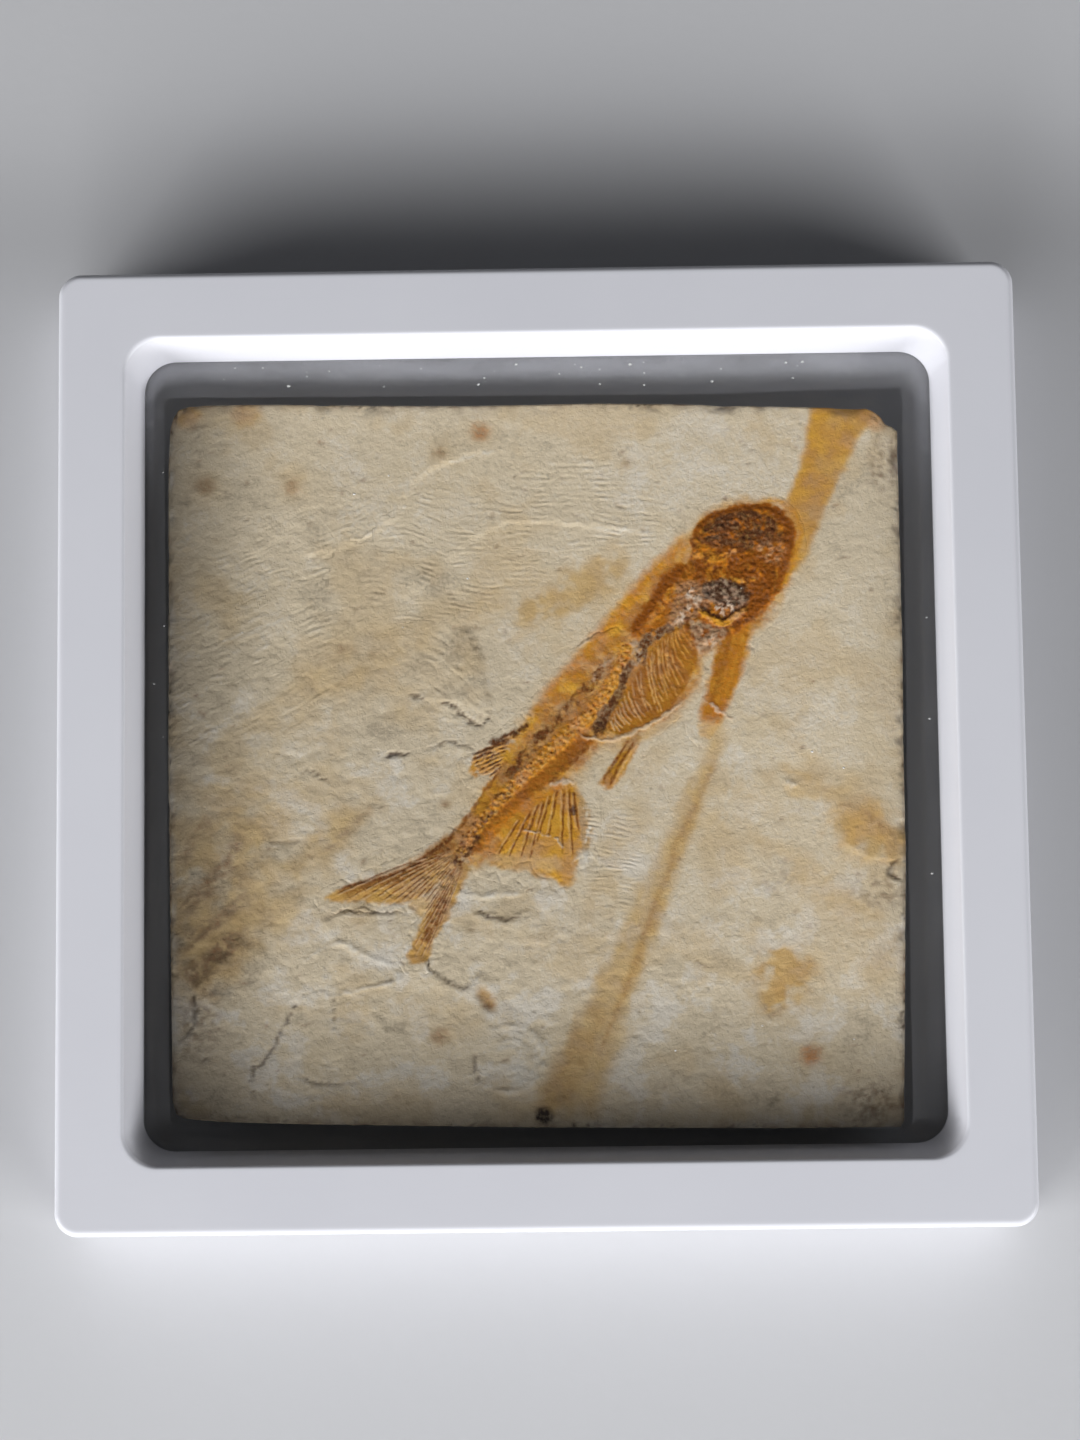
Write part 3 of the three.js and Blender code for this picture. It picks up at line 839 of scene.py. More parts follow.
RIPPLES = [
    # outline, turn of the crests, pitch, height, how broken
    ([(-69, 5), (-69, 22), (-60, 30), (-47, 31), (-38, 25), (-42, 16), (-57, 8)], 27, 1.25, 0.04, 0.1),
    ([(-66, 27), (-58, 38), (-46, 44), (-36, 47), (-26, 42), (-34, 34), (-50, 28)], 20, 1.2, 0.04, 0.15),
    ([(-40, 30), (-30, 41), (-20, 49), (-8, 47), (-8, 38), (-18, 33), (-30, 27)], -12, 1.15, 0.04, 0.1),
    ([(-26, 20), (-22, 29), (-10, 36), (2, 37), (-2, 30), (-14, 22)], -6, 1.15, 0.035, 0.15),
    ([(-12, 42), (-6, 52), (12, 55), (24, 47), (20, 38), (2, 37)], -2, 1.2, 0.04, 0.15),
    ([(-69, -4), (-68, 8), (-50, 14), (-36, 16), (-40, 8), (-55, 0)], 30, 1.5, 0.04, 0.15),
    ([(-24, 6), (-28, 16), (-20, 22), (-12, 18), (-11, 8)], -38, 1.6, 0.08, 0.15),
    ([(9, -12), (9, -26), (16, -30), (18, -14)], -8, 0.9, 0.03, 0.1),
    ([(28, -34), (30, -70), (60, -70), (56, -44)], 88, 2, 0.03, 0.3),
    ([(-66, -50), (-64, -66), (-40, -66), (-44, -50)], 62, 2.3, 0.03, 0.3),
]

DIAGONAL_BANDS = [
    # line, widths, strength, stains
    ([(-69, -11), (-57, 0), (-32, 18), (-20, 25), (-6, 30)], (6, 8, 8, 7, 5), 0.6,
     {"tan": 0.55, "tone": -0.35}),
    ([(-69.5, -46), (-45.8, -25.2), (-34, -10)], (8, 8, 6, 3), 0.8, {"tan": 0.65, "tone": -0.45}),
    ([(-69, 12), (-56, 22), (-42, 30), (-26, 36)], (3, 4, 4, 3), 0.5, {"tone": -0.4}),
    ([(-68, 30), (-60, 42), (-50, 52)], (5, 7, 5), 0.5, {"tone": -0.35}),
]

# The soft, patchy edge that the wide clouds of stain share.
CLOUDY = {"ragged": (4, 1.3), "broken": 0.38, "crumb": 5}

RING_MIDDLE = (-6.6, -58.4)
RING_CRESTS = [
    # radius, height
    (6.4, 0.30),
    (5.1, 0.16),
    (3.7, 0.20),
    (2.4, 0.14),
]

PIT_COUNT = 150
HAIR_COUNT = 90

PAINTED_LIGHT_ZONES = [
    # painted light and shade: x, y, reach across, reach up, how much lighter or, below 0, darker
    (16, 12, 20, 14, 0.20),
    (30, 52, 18, 12, 0.25),
    (52, 14, 12, 18, 0.14),
    (58, -55, 14, 16, -0.15),
]


def rock_face(ground):
    """The split face: slow swells, thin flaked layers, small lumps and a fine tooth."""
    x = ground.x
    y = ground.y
    lumpy = smooth_step(25, -35, x + 0.9 * y + 12 * noise(x, y, 30, 3))
    ground.height += 0.14 * noise(x, y, 34, 1) + 0.06 * rough(x, y, 13, 7, 2)
    ground.height += (0.015 + 0.06 * lumpy) * rough(x, y, 5.5, 11, 3, 0.55)
    crease = 1 - np.abs(rough(x, y, 7.0, 19, 3))
    ground.height -= (0.03 + 0.08 * lumpy) * smooth_step(0.8, 1.0, crease)
    for size, pitch, step, seed in FLAKES:
        layers = rough(x, y, size, seed, 4, 0.55) / pitch
        rest = layers - np.floor(layers)
        ground.height += (0.6 + 0.6 * lumpy) * step * (smooth_step(0.80, 1.0, rest) - rest)
    ground.height += (0.012 + 0.020 * lumpy) * rough(x, y, 1.3, 29, 3, 0.75)
    ground.stains["tone"] += 0.10 * noise(x, y, 16, 41) + 0.08 * noise(x, y, 4, 43)
    ground.stains["tan"] += 0.30 * smooth_step(0.05, 0.6, rough(x, y, 17, 101, 4, 0.6))
    lower = smooth_step(12, -25, y + 0.25 * x + 8 * noise(x, y, 22, 131))
    ground.stains["tone"] += (0.15 + 0.45 * lower) * smooth_step(0.0, 0.5, rough(x, y, 11, 107, 4, 0.62))
    ground.stains["tone"] -= 0.30 * smooth_step(0.1, 0.6, rough(x, y, 9, 113, 4, 0.65))


def broken_layers(ground):
    """The steps where a thin layer of the stone has split away."""
    for layer in WORN_LAYERS:
        ground.ledge(*layer)


def stone_ripples(ground):
    """Ripple marks in several fields, each with crests its own way."""
    for field in RIPPLES:
        ground.ripples(*field)


def stain_band(ground):
    """The iron-stained seam that crosses the slab behind the head and widens below the fish."""
    upper = [(52.4, 62.6), (50.9, 54.6), (46.8, 44.6), (47.6, 38), (47.4, 32), (50, 34.6), (54.8, 45.5),
             (61.4, 58.8), (63.6, 62.6), (58, 64.5)]
    ground.region(upper, soft=1.4, ragged=(4, 0.4), tan=1, ochre=0.5, umber=0.06)
    ground.region(upper, soft=2, ragged=(3, 0.8), broken=0.5, crumb=5, ochre=0.66, umber=0.12)
    ground.stroke([(53.6, 63), (52, 55), (48, 43.5), (48.2, 38)], (3.4, 1.6), soft=1.6, ends=0,
                  ragged=(3, 0.4), ochre=0.72, umber=0.14)
    ground.blot((63, 61.6), (3.2, 1.8), -38, ochre=0.5, rust=0.15)
    ground.stroke([(36, 6), (31.6, -3), (19.2, -32), (7.2, -60), (4.2, -70.5)], (2.4, 8.4), soft=2.6,
                  ragged=(6, 0.8), strength=0.8, tan=0.95, ochre=0.06)
    ground.stroke([(32.8, -3), (28.4, -13), (12.8, -52.4)], (1, 2.4, 2.4), soft=1.8, ragged=(5, 0.6),
                  broken=0.36, crumb=6, tan=1, ochre=0.16, umber=0.06)
    ground.stroke([(33.5, -1), (29.8, -9.8), (25.2, -18.5), (23.6, -24), (20.8, -30.4), (14.9, -46.8),
                   (11.8, -53.5), (9.4, -60)], (0.5, 1.2, 0.8), ragged=(3, 0.3), broken=0.3, crumb=5,
                  strength=0.8, umber=0.28, ochre=0.25)
    ground.stroke([(30.5, -4), (25, -15), (15, -38)], (0.8, 1.2, 0.8), ragged=(3, 0.3), broken=0.4,
                  crumb=6, strength=0.45, pale=0.5)
    ground.stroke([(12, -42), (9, -50), (2.6, -64.4), (1.2, -70)], (2, 5.7, 6.6), soft=2.8, ragged=(4, 1),
                  broken=0.3, crumb=9, strength=0.85, tan=1, ochre=0.1, umber=0.2)
    ground.stroke([(15, -52), (11, -61), (8, -70.5)], 3.3, soft=2.6, strength=0.5, tan=0.9, ochre=0.08)


def fossil_ring(ground):
    """A round ringed mark low on the slab and the small oval pit above it."""
    for index, (radius, height) in enumerate(RING_CRESTS):
        turns = np.radians(np.arange(-140, 150, 20) + 13 * index)
        line = np.column_stack([1.02 * radius * np.cos(turns), 0.95 * radius * np.sin(turns)])
        ground.stroke(line + RING_MIDDLE, 0.9, lift=height, ends=0.2, ragged=(2.5, 0.3), broken=0.35,
                      crumb=3, pale=0.55)
    ground.blot((-10.9, -47.4), (3.4, 1.9), -58, lift=0.14, pale=0.45)
    ground.blot((-10.7, -47.3), (2.5, 1.3), -58, lift=-0.4, umber=0.3, ochre=0.2, tan=0.9, pale=0)
    ground.blot((-10.4, -48.6), (0.9, 0.6), -52, lift=-0.2, umber=0.6)


def cracks_and_ridges(ground):
    """Dark cracks, each with a raised pale lip below it whose paleness is a painted highlight, and pale
    ridges.
    """
    for line, width, depth, dark in CRACKS:
        ground.stroke(line, (0.4 * width, 0.9 * width, 0.8 * width, 0.3 * width), soft=0.3, lift=-depth,
                      umber=0.35 * dark, soot=0.75 * dark)
        # painted highlight: a pale, slightly raised lip on the lower side of each crack
        painted_highlight_lip = [(x - 0.15, y - 0.75) for x, y in line]
        ground.stroke(painted_highlight_lip, 0.7 * width, soft=0.5, lift=0.1, broken=0.4, crumb=2, strength=0.7,
                      pale=0.4)
    for line, width, height in PALE_RIDGES:
        ground.stroke(line, (0.4 * width, width, 0.5 * width), soft=0.5, lift=height, broken=0.24,
                      crumb=2.6, pale=0.6)


def spots_and_stains(ground):
    """Bands, clouds, streaks and spots of stain, from the widest to the smallest."""
    ground.region([(40.6, -39.8), (45, -38.6), (50.8, -41.8), (48.6, -44.6), (47.2, -48), (42.5, -51),
                   (39.9, -47)], soft=2.6, ragged=(2.4, 0.9), broken=0.36, crumb=4, lift=-0.08, tan=1,
                  ochre=0.28, umber=0.04)
    for line, widths, strength, stains in DIAGONAL_BANDS:
        ground.stroke(line, widths, soft=4, strength=strength, ragged=(6, 1.8), broken=0.36, crumb=7,
                      **stains)
    for x, y, long, wide, turn, strength in TAN_CLOUDS:
        ground.blot((x, y), (long, wide), turn, strength=strength, **CLOUDY, tan=1, ochre=0.06)
    for x, y, long, wide, turn, tone in TONE_CLOUDS:
        ground.blot((x, y), (long, wide), turn, strength=abs(tone), **CLOUDY,
                    tone=math.copysign(0.95, tone))
    for line, width, dark in DARK_STREAKS:
        ground.stroke(line, (0.6 * width, width, 0.7 * width), soft=1.4, ragged=(3, 0.8), broken=0.42,
                      grain=0.05, umber=dark, tan=0.45)
    for centre, radii, strength in GRITTY:
        ground.blot(centre, radii, strength=strength, ragged=(3, 0.8), broken=0.55, grain=0.12, umber=0.5,
                    soot=0.25)
    for x, y, radius, rust, umber in SPOTS:
        ground.blot((x, y), 2.1 * radius, soft=0.8, strength=0.5, tan=0.5)
        ground.blot((x, y), radius, soft=0.7, strength=0.8, tan=0.5, rust=rust, umber=umber)
    ground.blot((61, -17), (7, 4.6), -25, strength=0.9, **CLOUDY, tan=0.9, ochre=0.34)
    ground.blot((-66.4, 63.9), 2.4, strength=0.8, ochre=0.6)
    ground.blot((-55.3, 64.2), 2.6, strength=0.8, ochre=0.45, umber=0.15)
    ground.blot((-0.2, -69), 1.5, soot=0.95)


def scattered_pits(ground):
    """Pin-prick pits and short hair cracks all over the face."""
    dice = np.random.default_rng(5)
    for _pit in range(PIT_COUNT):
        x, y = dice.uniform(-66, 64, 2)
        size = dice.uniform(0.25, 0.6)
        ground.blot((x, y), (size, 0.7 * size), dice.uniform(0, 180), lift=-0.12, strength=0.8,
                    umber=dice.uniform(0.2, 0.6))
    for _hair in range(HAIR_COUNT):
        x, y = dice.uniform(-64, 62, 2)
        angle = math.radians(dice.normal(-30, 45))
        length = dice.uniform(1.2, 4.0)
        end = (x + length * math.cos(angle), y + length * math.sin(angle))
        ground.stroke([(x, y), end], (0.15, 0.35, 0.15), soft=0.3, lift=-0.1, strength=0.8,
                      umber=dice.uniform(0.15, 0.5))


def hill(ground, x, y, across, up):
    """1 at a place, falling off softly all round it."""
    return np.exp(-(((ground.x - x) / across) ** 2 + ((ground.y - y) / up) ** 2))


def paint_light_and_shade(ground):
    """Painted light and shade: a painted shadow on the left side, the foot and the lower left corner, and
    wide painted lighter and darker zones.
    """
    x = ground.x
    y = ground.y
    # Painted shadow: the stone darkens towards its left side, its foot and its lower left corner, and a
    # little towards the lower left overall.
    painted_lighting = 1 - 0.52 * smooth_step(-43, -71, x + 2 * noise(x, y, 12, 97))
    painted_lighting *= 1 - 0.76 * np.clip((-45 - y) / 28, 0.0, 1.0) - 0.10 * hill(ground, -64, -60, 12, 14)
    painted_lighting *= 0.82 + 0.16 * smooth_step(-45, 45, 0.8 * x + 0.75 * y)
    ground.stains["painted_shade"] = 1 - painted_lighting
    # Painted light and shade: wide zones made lighter or darker in the stone's tone.
    for *zone, tone in PAINTED_LIGHT_ZONES:
        ground.stains["tone"] += tone * hill(ground, *zone)


def mark_slab(ground):
    """Everything on the slab's face except the fish."""
    rock_face(ground)
    paint_light_and_shade(ground)
    stone_ripples(ground)
    broken_layers(ground)
    stain_band(ground)
    spots_and_stains(ground)
    fossil_ring(ground)
    scattered_pits(ground)
    cracks_and_ridges(ground)


# ---------------------------------------------------------------- the fish

FISH_EDGE = [(-16, -24.5), (-17.5, -31.5), (-21.4, -40.6), (-25.2, -40.8), (-22.8, -31.8), (-25, -29.6),
             (-38.5, -29.6), (-41, -28), (-35, -25.3), (-21, -19.8), (-16, -15.6), (-9.6, -7.2),
             (-13, -6.6), (-14.2, -3.6), (-11.6, -0.6), (-3.2, 5.2), (23.4, 35.4), (33, 45.4),
             (45.4, 45.4), (49.2, 37), (44.4, 25), (40.4, 20.6), (35.2, 3.8), (31.8, 0.2), (28.8, 2.2),
             (27.8, 7), (21, 2.4), (13.6, -9.2), (10, -7.4), (9.6, -18), (8, -26.6), (4.2, -28),
             (-12, -23)]

HALO = [(-15.6, -17.4), (-12.4, -12.6), (-7.2, -4), (-3, 4.4), (1.6, 10.2), (11.4, 21), (21, 32.2),
        (28.4, 38.6), (30.6, 42), (34.6, 44.6), (39.8, 45.8), (44.9, 44.7), (47.8, 41.4), (48.5, 37.1),
        (47.2, 32.2), (44.9, 27.2), (41.8, 22.6), (36, 19.6), (30.6, 16.6), (29.8, 12), (26.4, 7.2),
        (21.4, 3.8), (16, 1.2), (11.2, 0), (8, -3.6), (3.6, -8), (-0.6, -13), (-5, -18), (-10.4, -21),
        (-13, -22.4)]

SPINE = [(16.3, 19.8), (16, 16.8), (14.6, 13.5), (10.3, 6.6), (6.5, 3.2), (2.6, -0.6), (-4.6, -7),
         (-10, -12.8), (-14.6, -18.6), (-16, -21.2)]

RIB_ROOTS = [(26.3, 22), (23.6, 20.5), (20.7, 16.9), (15.7, 9.2), (13.2, 4.6)]
RIB_ENDS = [(29.8, 17.2), (26, 8.6), (22.9, 5.6), (18.7, 3.4), (14.4, 1.9)]

HEAD = [(29, 35.4), (28.8, 38.4), (31.2, 42), (34.8, 43.6), (40, 44.6), (43.9, 44.2), (46.7, 42),
        (47.6, 39), (46.9, 35.2), (44, 27.2), (38.6, 22), (34, 19.8), (30.4, 18.6), (27.6, 21.4),
        (26.2, 25), (26.6, 30)]

BACK_EDGE = [(-1, 7.1), (11.4, 20.6), (21, 31.9), (25.8, 36.6), (28.8, 40.4)]
TAIL_BACK = [(-4.6, -1.6), (-11.6, -11.8), (-15, -16.2), (-19, -19.4)]
OVER_SPINE = [(14.2, 17.7), (10, 11.8), (-1.6, 0), (-8.4, -8.4)]
UNDER_SPINE = [(17.6, 16), (16, 13.2), (15, 10.1), (11.4, 4.4), (11, 2.4)]

# Painted highlights: pale raised marks that stand for glints of light on the head.
PAINTED_GLINTS = [
    # x, y, length, width, how pale
    (28.6, 28.2, 1, 0.5, 0.75), (30, 27.3, 0.8, 0.6, 0.9), (29.2, 26.6, 1, 0.4, 0.7),
    (27.9, 25.2, 1.1, 0.4, 0.6), (26.9, 24.2, 0.8, 0.4, 0.6), (25.9, 23.2, 0.7, 0.35, 0.5),
    (34.6, 25.2, 0.9, 0.35, 0.7), (36.2, 25.8, 1, 0.4, 0.9), (33.6, 25.7, 0.6, 0.35, 0.6),
    (30.6, 21.4, 0.5, 0.3, 0.5), (32.4, 20, 0.8, 0.4, 0.6), (31.2, 19.2, 0.7, 0.35, 0.5),
    (30.2, 17.8, 0.8, 0.45, 0.55), (32.8, 18.8, 0.6, 0.3, 0.5), (28.9, 29, 0.6, 0.3, 0.5),
]

ANAL_RAYS = [
    # root and tip of each ray
    ((-3.9, -13.6), (-8.3, -20.6)), ((-1.9, -12.2), (-6.4, -21.2)), ((-0.5, -10.8), (-4.1, -21.3)),
    ((0.6, -10.2), (-2.3, -21.6)), ((1.8, -9.2), (-1, -18.4)), ((3.1, -8.3), (1.2, -17.4)),
    ((4.2, -7.9), (3.8, -20.6)), ((5.2, -7.9), (5.8, -22.2)), ((6.1, -8.6), (6.9, -16.4)),
]

# Stain mixes that the fish's parts share.
BRIGHT = {"ochre": 1, "rust": 0.2, "umber": 0}
GLOWING = {"ochre": 1, "rust": 0.38, "umber": 0.04}
BURNT = {"ochre": 0.85, "rust": 0.95, "umber": 0.68}
CLEAN_RAY = {"ochre": 0.9, "pale": 0.14, "umber": 0}
DUSTY_RAY = {"ochre": 0.62, "pale": 0.25, "umber": 0.05}
BROWN = {"umber": 0.78, "rust": 0.35}
RUSTY = {"umber": 0.56, "rust": 0.5}
BLACK = {"umber": 0.92, "soot": 0.42, "rust": 0.3}
DARK = {"umber": 0.88, "soot": 0.2, "rust": 0.35}
WASH = {"ochre": 0.3, "tan": 0.6}
WARM_WASH = {"ochre": 0.45, "tan": 0.6}
PALE_RIM = {"pale": 0.42, "ochre": 0.46, "umber": 0}

VERTEBRA_PITCH = 1.32
RIB_COUNT = 25
DORSAL_RAYS = 7
FISH_NOISE = 441  # number of the mark that the fish starts from, which fixes its noise


def soft_parts(ground):
    """The bright stain round the fish and what is left of its flesh."""
    ground.region(HALO, soft=7.5, strength=0.65, ragged=(5, 0.9), ochre=0.12, tan=0.65)
    ground.region(HALO, soft=3.8, ragged=(2.2, 0.8), ochre=0.74, tan=0.4, tone=0, pale=0, ripple=0)
    ground.region(HALO, soft=1.6, ragged=(2.6, 0.6), broken=0.46, crumb=3.4, strength=0.8, umber=0.4,
                  rust=0.46)
    ground.region(HALO, broken=0.6, strength=0.4, grain=0.06, **GLOWING)
    ground.stroke(BACK_EDGE, (1, 2.2, 2), soft=2.6, strength=0.8, grain=0.05, **GLOWING)
    ground.region([(9.7, 1), (8.3, -1.1), (2.4, -6.4), (-1.4, -9.4), (-10, -18.2), (-13.4, -20.2),
                   (-10, -14), (-4, -7), (3, 0), (7, 2.6)], lift=0.08, grain=0.06, ochre=1, umber=0.52,
                  rust=0.62)
    ground.stroke([(9.4, -0.2), (5.4, -3.4), (-3.4, -11.4)], (0.8, 1.4, 1.2, 0.8), broken=0.42, **BROWN)
    ground.stroke(TAIL_BACK, (3, 2), strength=0.85, ochre=0.95, umber=0.34, rust=0.15)
    ground.stroke([(x - 0.8, y + 0.5) for x, y in TAIL_BACK], (0.5, 0.75, 0.6), soft=0.5, strength=0.8,
                  broken=0.3, crumb=2, **BROWN)


def at_along(line, away, where):
    """The place on a line at the given distance, where away holds each point's own distance."""
    return np.array([np.interp(where, away, line[:, 0]), np.interp(where, away, line[:, 1])])


def backbone(ground):
    """The row of vertebrae, with the dark remains above and below it."""
    ground.stroke(OVER_SPINE, (1.8, 2.9, 3, 2.4), soft=1.2, broken=0.42, strength=0.85, grain=0.08,
                  ochre=0.45, umber=0.48, tan=0.7)
    ground.stroke(OVER_SPINE, (0.8, 1.5, 1.8, 1.2), ragged=(1.4, 0.8), broken=0.46, crumb=2.2, grain=0.06,
                  **DARK)
    ground.stroke(OVER_SPINE[:2], 1.1, broken=0.55, lift=0.06, pale=0.25, ochre=0.3, umber=0.2, soot=0)
    ground.stroke(SPINE, (1.9, 3.1, 2.7, 1.6), lift=0.16, grain=0.12, ochre=1, rust=0.44, umber=0.02,
                  soot=0, tan=0, pale=0)
    line = smooth_line(SPINE, steps=24)
    away = np.concatenate([[0], np.cumsum(np.hypot(*np.diff(line, axis=0).T))])
    dice = np.random.default_rng(4)
    for index in range(int(away[-1] / VERTEBRA_PITCH)):
        where = 0.5 + VERTEBRA_PITCH * index + dice.uniform(-0.15, 0.15)
        middle = at_along(line, away, where)
        ahead = at_along(line, away, where + 0.6) - middle
        turn = math.degrees(math.atan2(ahead[1], ahead[0])) + dice.normal(0, 9)
        size = dice.uniform(0.8, 1.15) * (1.0 if where < 40 else 0.72)
        ground.blot(middle + dice.normal(0, 0.16, 2), (0.46 * size, 1.0 * size), turn, lift=0.11,
                    ragged=(0.8, 0.35), strength=dice.uniform(0.55, 1.0), ochre=1, rust=0.12, umber=0,
                    pale=0.03)
        ground.blot(middle + 0.55 * ahead + dice.normal(0, 0.15, 2), (0.22 * size, 0.85 * size), turn,
                    lift=-0.1, ragged=(0.8, 0.35), strength=dice.uniform(0.2, 0.8), rust=0.95, umber=0.42)
    ground.stroke(SPINE, 2.3, ends=0.02, broken=0.74, crumb=0.7, lift=-0.07, rust=0.8, umber=0.75)
    ground.stroke(SPINE, (1.6, 2.2, 1.6), ends=0.02, broken=0.56, crumb=0.8, lift=0.08, ochre=1,
                  rust=0.06, umber=0, pale=0.1)
    ground.stroke(SPINE[6:], (2.4, 1.8), broken=0.6, lift=-0.07, **BROWN)
    ground.stroke(UNDER_SPINE, (1, 2.4), lift=-0.1, grain=0.05, strength=0.85, umber=0.82, soot=0.24,
                  ochre=0.3, rust=0)
    ground.stroke(UNDER_SPINE, (0.8, 1.8), broken=0.4, crumb=2.2, **BLACK)
    ground.blot((11.2, 3.2), (1.5, 1.3), 30, broken=0.35, crumb=0.8, umber=0.9, soot=0.62)
    ground.stroke([(17.4, 19.6), (18.4, 17.4), (17.8, 14.6)], (1.2, 1.8, 1.2), broken=0.45, lift=0.06,
                  pale=0.3, umber=0.3, ochre=0.4, tan=0.4)


def rib_cage(ground):
    """The belly's dark field, its ribs with gaps between them, and the keel below."""
    field = RIB_ROOTS + RIB_ENDS[::-1]
    ground.region(field, lift=-0.06, ochre=0.95, tan=0.6, umber=0.42, rust=0.36, soot=0)
    ground.stroke([(27.9, 23.4), (21.3, 20.4), (19.5, 18.6), (19, 16.7), (19.6, 14.8)],
                  (0.8, 1.6, 1.8, 2.2, 1.2), lift=-0.08, grain=0.1, broken=0.3, umber=0.85, soot=0.26,
                  ochre=0.2, rust=0.1)
    roots = smooth_line(RIB_ROOTS, steps=16)
    ends = smooth_line(RIB_ENDS, steps=16)
    dice = np.random.default_rng(8)
    for index in range(RIB_COUNT):
        at = (index + dice.uniform(-0.15, 0.15)) / (RIB_COUNT - 1) * (len(roots) - 1)
        root = at_along(roots, np.arange(len(roots)), at)
        along = at_along(ends, np.arange(len(ends)), at) - root
        bow = dice.uniform(-0.10, -0.03) * np.array([-along[1], along[0]])
        reach = dice.uniform(0.75, 1.04)
        line = [root, root + 0.5 * reach * along + bow, root + reach * along]
        gap = [point + np.array([-0.33, -0.16]) for point in line]
        ground.stroke(gap, (0.22, 0.32, 0.2), soft=0.34, lift=-0.08, ragged=(1.8, 0.25), broken=0.4,
                      **RUSTY)
        ground.stroke(line, (0.32, 0.38, 0.24), soft=0.36, lift=0.11, ragged=(1.8, 0.18), broken=0.26,
                      ochre=1.0 - 0.02 * index, pale=0.04 + 0.006 * index, umber=0.02, rust=0.1)
    ground.region(field, broken=0.55, crumb=2.4, strength=0.7, **RUSTY)
    ground.stroke([(27.2, 8.2), (22, 4.5), (15.8, 1.6), (13.4, 0.8), (10.2, 1), (6.8, 2)],
                  (0.4, 0.8, 0.4), soft=0.5, lift=0.16, ochre=0.55, pale=0.32, tan=0.3, umber=0, soot=0,
                  rust=0)
    ground.region([(25.8, 5.8), (22.4, 3.8), (18.7, 2.2), (15.6, 0.6), (13.4, 0), (14, -1.6), (18, -0.4),
                   (22, 2), (26, 4.4)], soft=1.6, strength=0.7, **WASH)


def skull(ground):
    """The burnt-looking head, its dark roof and rim, and the brighter bones within."""
    ground.region(HEAD, lift=0.18, grain=0.12, **BURNT, tone=0, tan=0)
    ground.region(HEAD, broken=0.46, crumb=3.6, umber=0.9, rust=0.6)
    ground.region(HEAD, soft=1.4, broken=0.6, crumb=2.2, lift=0.08, ochre=1, rust=0.7, umber=0.14)
    edge = [(28.9, 38.6), (31.2, 42), (34.8, 43.8), (40, 44.8), (43.9, 44.4), (46.8, 42), (47.7, 39),
            (47, 35.2), (45.6, 31), (44, 27.4)]
    ground.stroke(edge, (0.8, 1.3, 2, 1.6), **BURNT)
    ground.stroke([(x + 1.7, y + 1.2) for x, y in edge[3:]], (0.6, 1.2, 0.9), soft=1.4, strength=0.8,
                  **BRIGHT)
    roof = [(30.4, 38.4), (31.6, 40.4), (34.2, 42.4), (39, 43.4), (43.4, 42.6), (44.9, 40.2), (44, 38.2),
            (40, 36.6), (36.4, 37.4), (33, 37.2)]
    ground.region(roof, lift=0.06, grain=0.12, umber=0.85, soot=0.16, rust=0.7, ochre=0.6)
    ground.region(roof, broken=0.48, crumb=2.6, **BLACK)
    ground.region(roof, broken=0.62, lift=0.07, rust=0.9, umber=0.42, soot=0, ochre=0.8)
    ground.stroke([(30.6, 40.2), (34.4, 42.6), (39, 43.6), (43.4, 42.4), (46.4, 38.6)],
                  (0.5, 0.8, 0.8, 1, 0.6), broken=0.3, crumb=2, **BLACK)
    ground.region([(29.2, 36.4), (32.8, 35.6), (37.1, 36.8), (36.8, 35), (32, 34.3), (29, 34.9)],
                  soft=0.7, lift=0.1, broken=0.42, grain=0.12, **GLOWING, soot=0)
    ground.region([(36.1, 35.4), (40.4, 35.4), (44.6, 36.8), (45.8, 34.2), (43, 31.6), (39.4, 31),
                   (36.2, 32.2)], grain=0.12, broken=0.3, **BURNT)
    ground.region([(41, 37.2), (43.8, 38), (46.2, 36.8), (46, 34.4), (43.4, 34.4), (41.4, 35.4)],
                  broken=0.5, grain=0.14, rust=0.6, umber=0.26, ochre=0.7, pale=0.12)
    ground.stroke([(34.6, 31.4), (38.2, 30.6), (41.6, 30.8)], (0.5, 0.9, 0.7), soft=0.5, broken=0.42,
                  lift=0.08, **BRIGHT)
    ground.region([(39.6, 30.2), (43.6, 31), (44, 27.8), (41.4, 24.8), (38.6, 22.6), (39.8, 26.4)],
                  grain=0.12, broken=0.3, crumb=2, **BURNT)


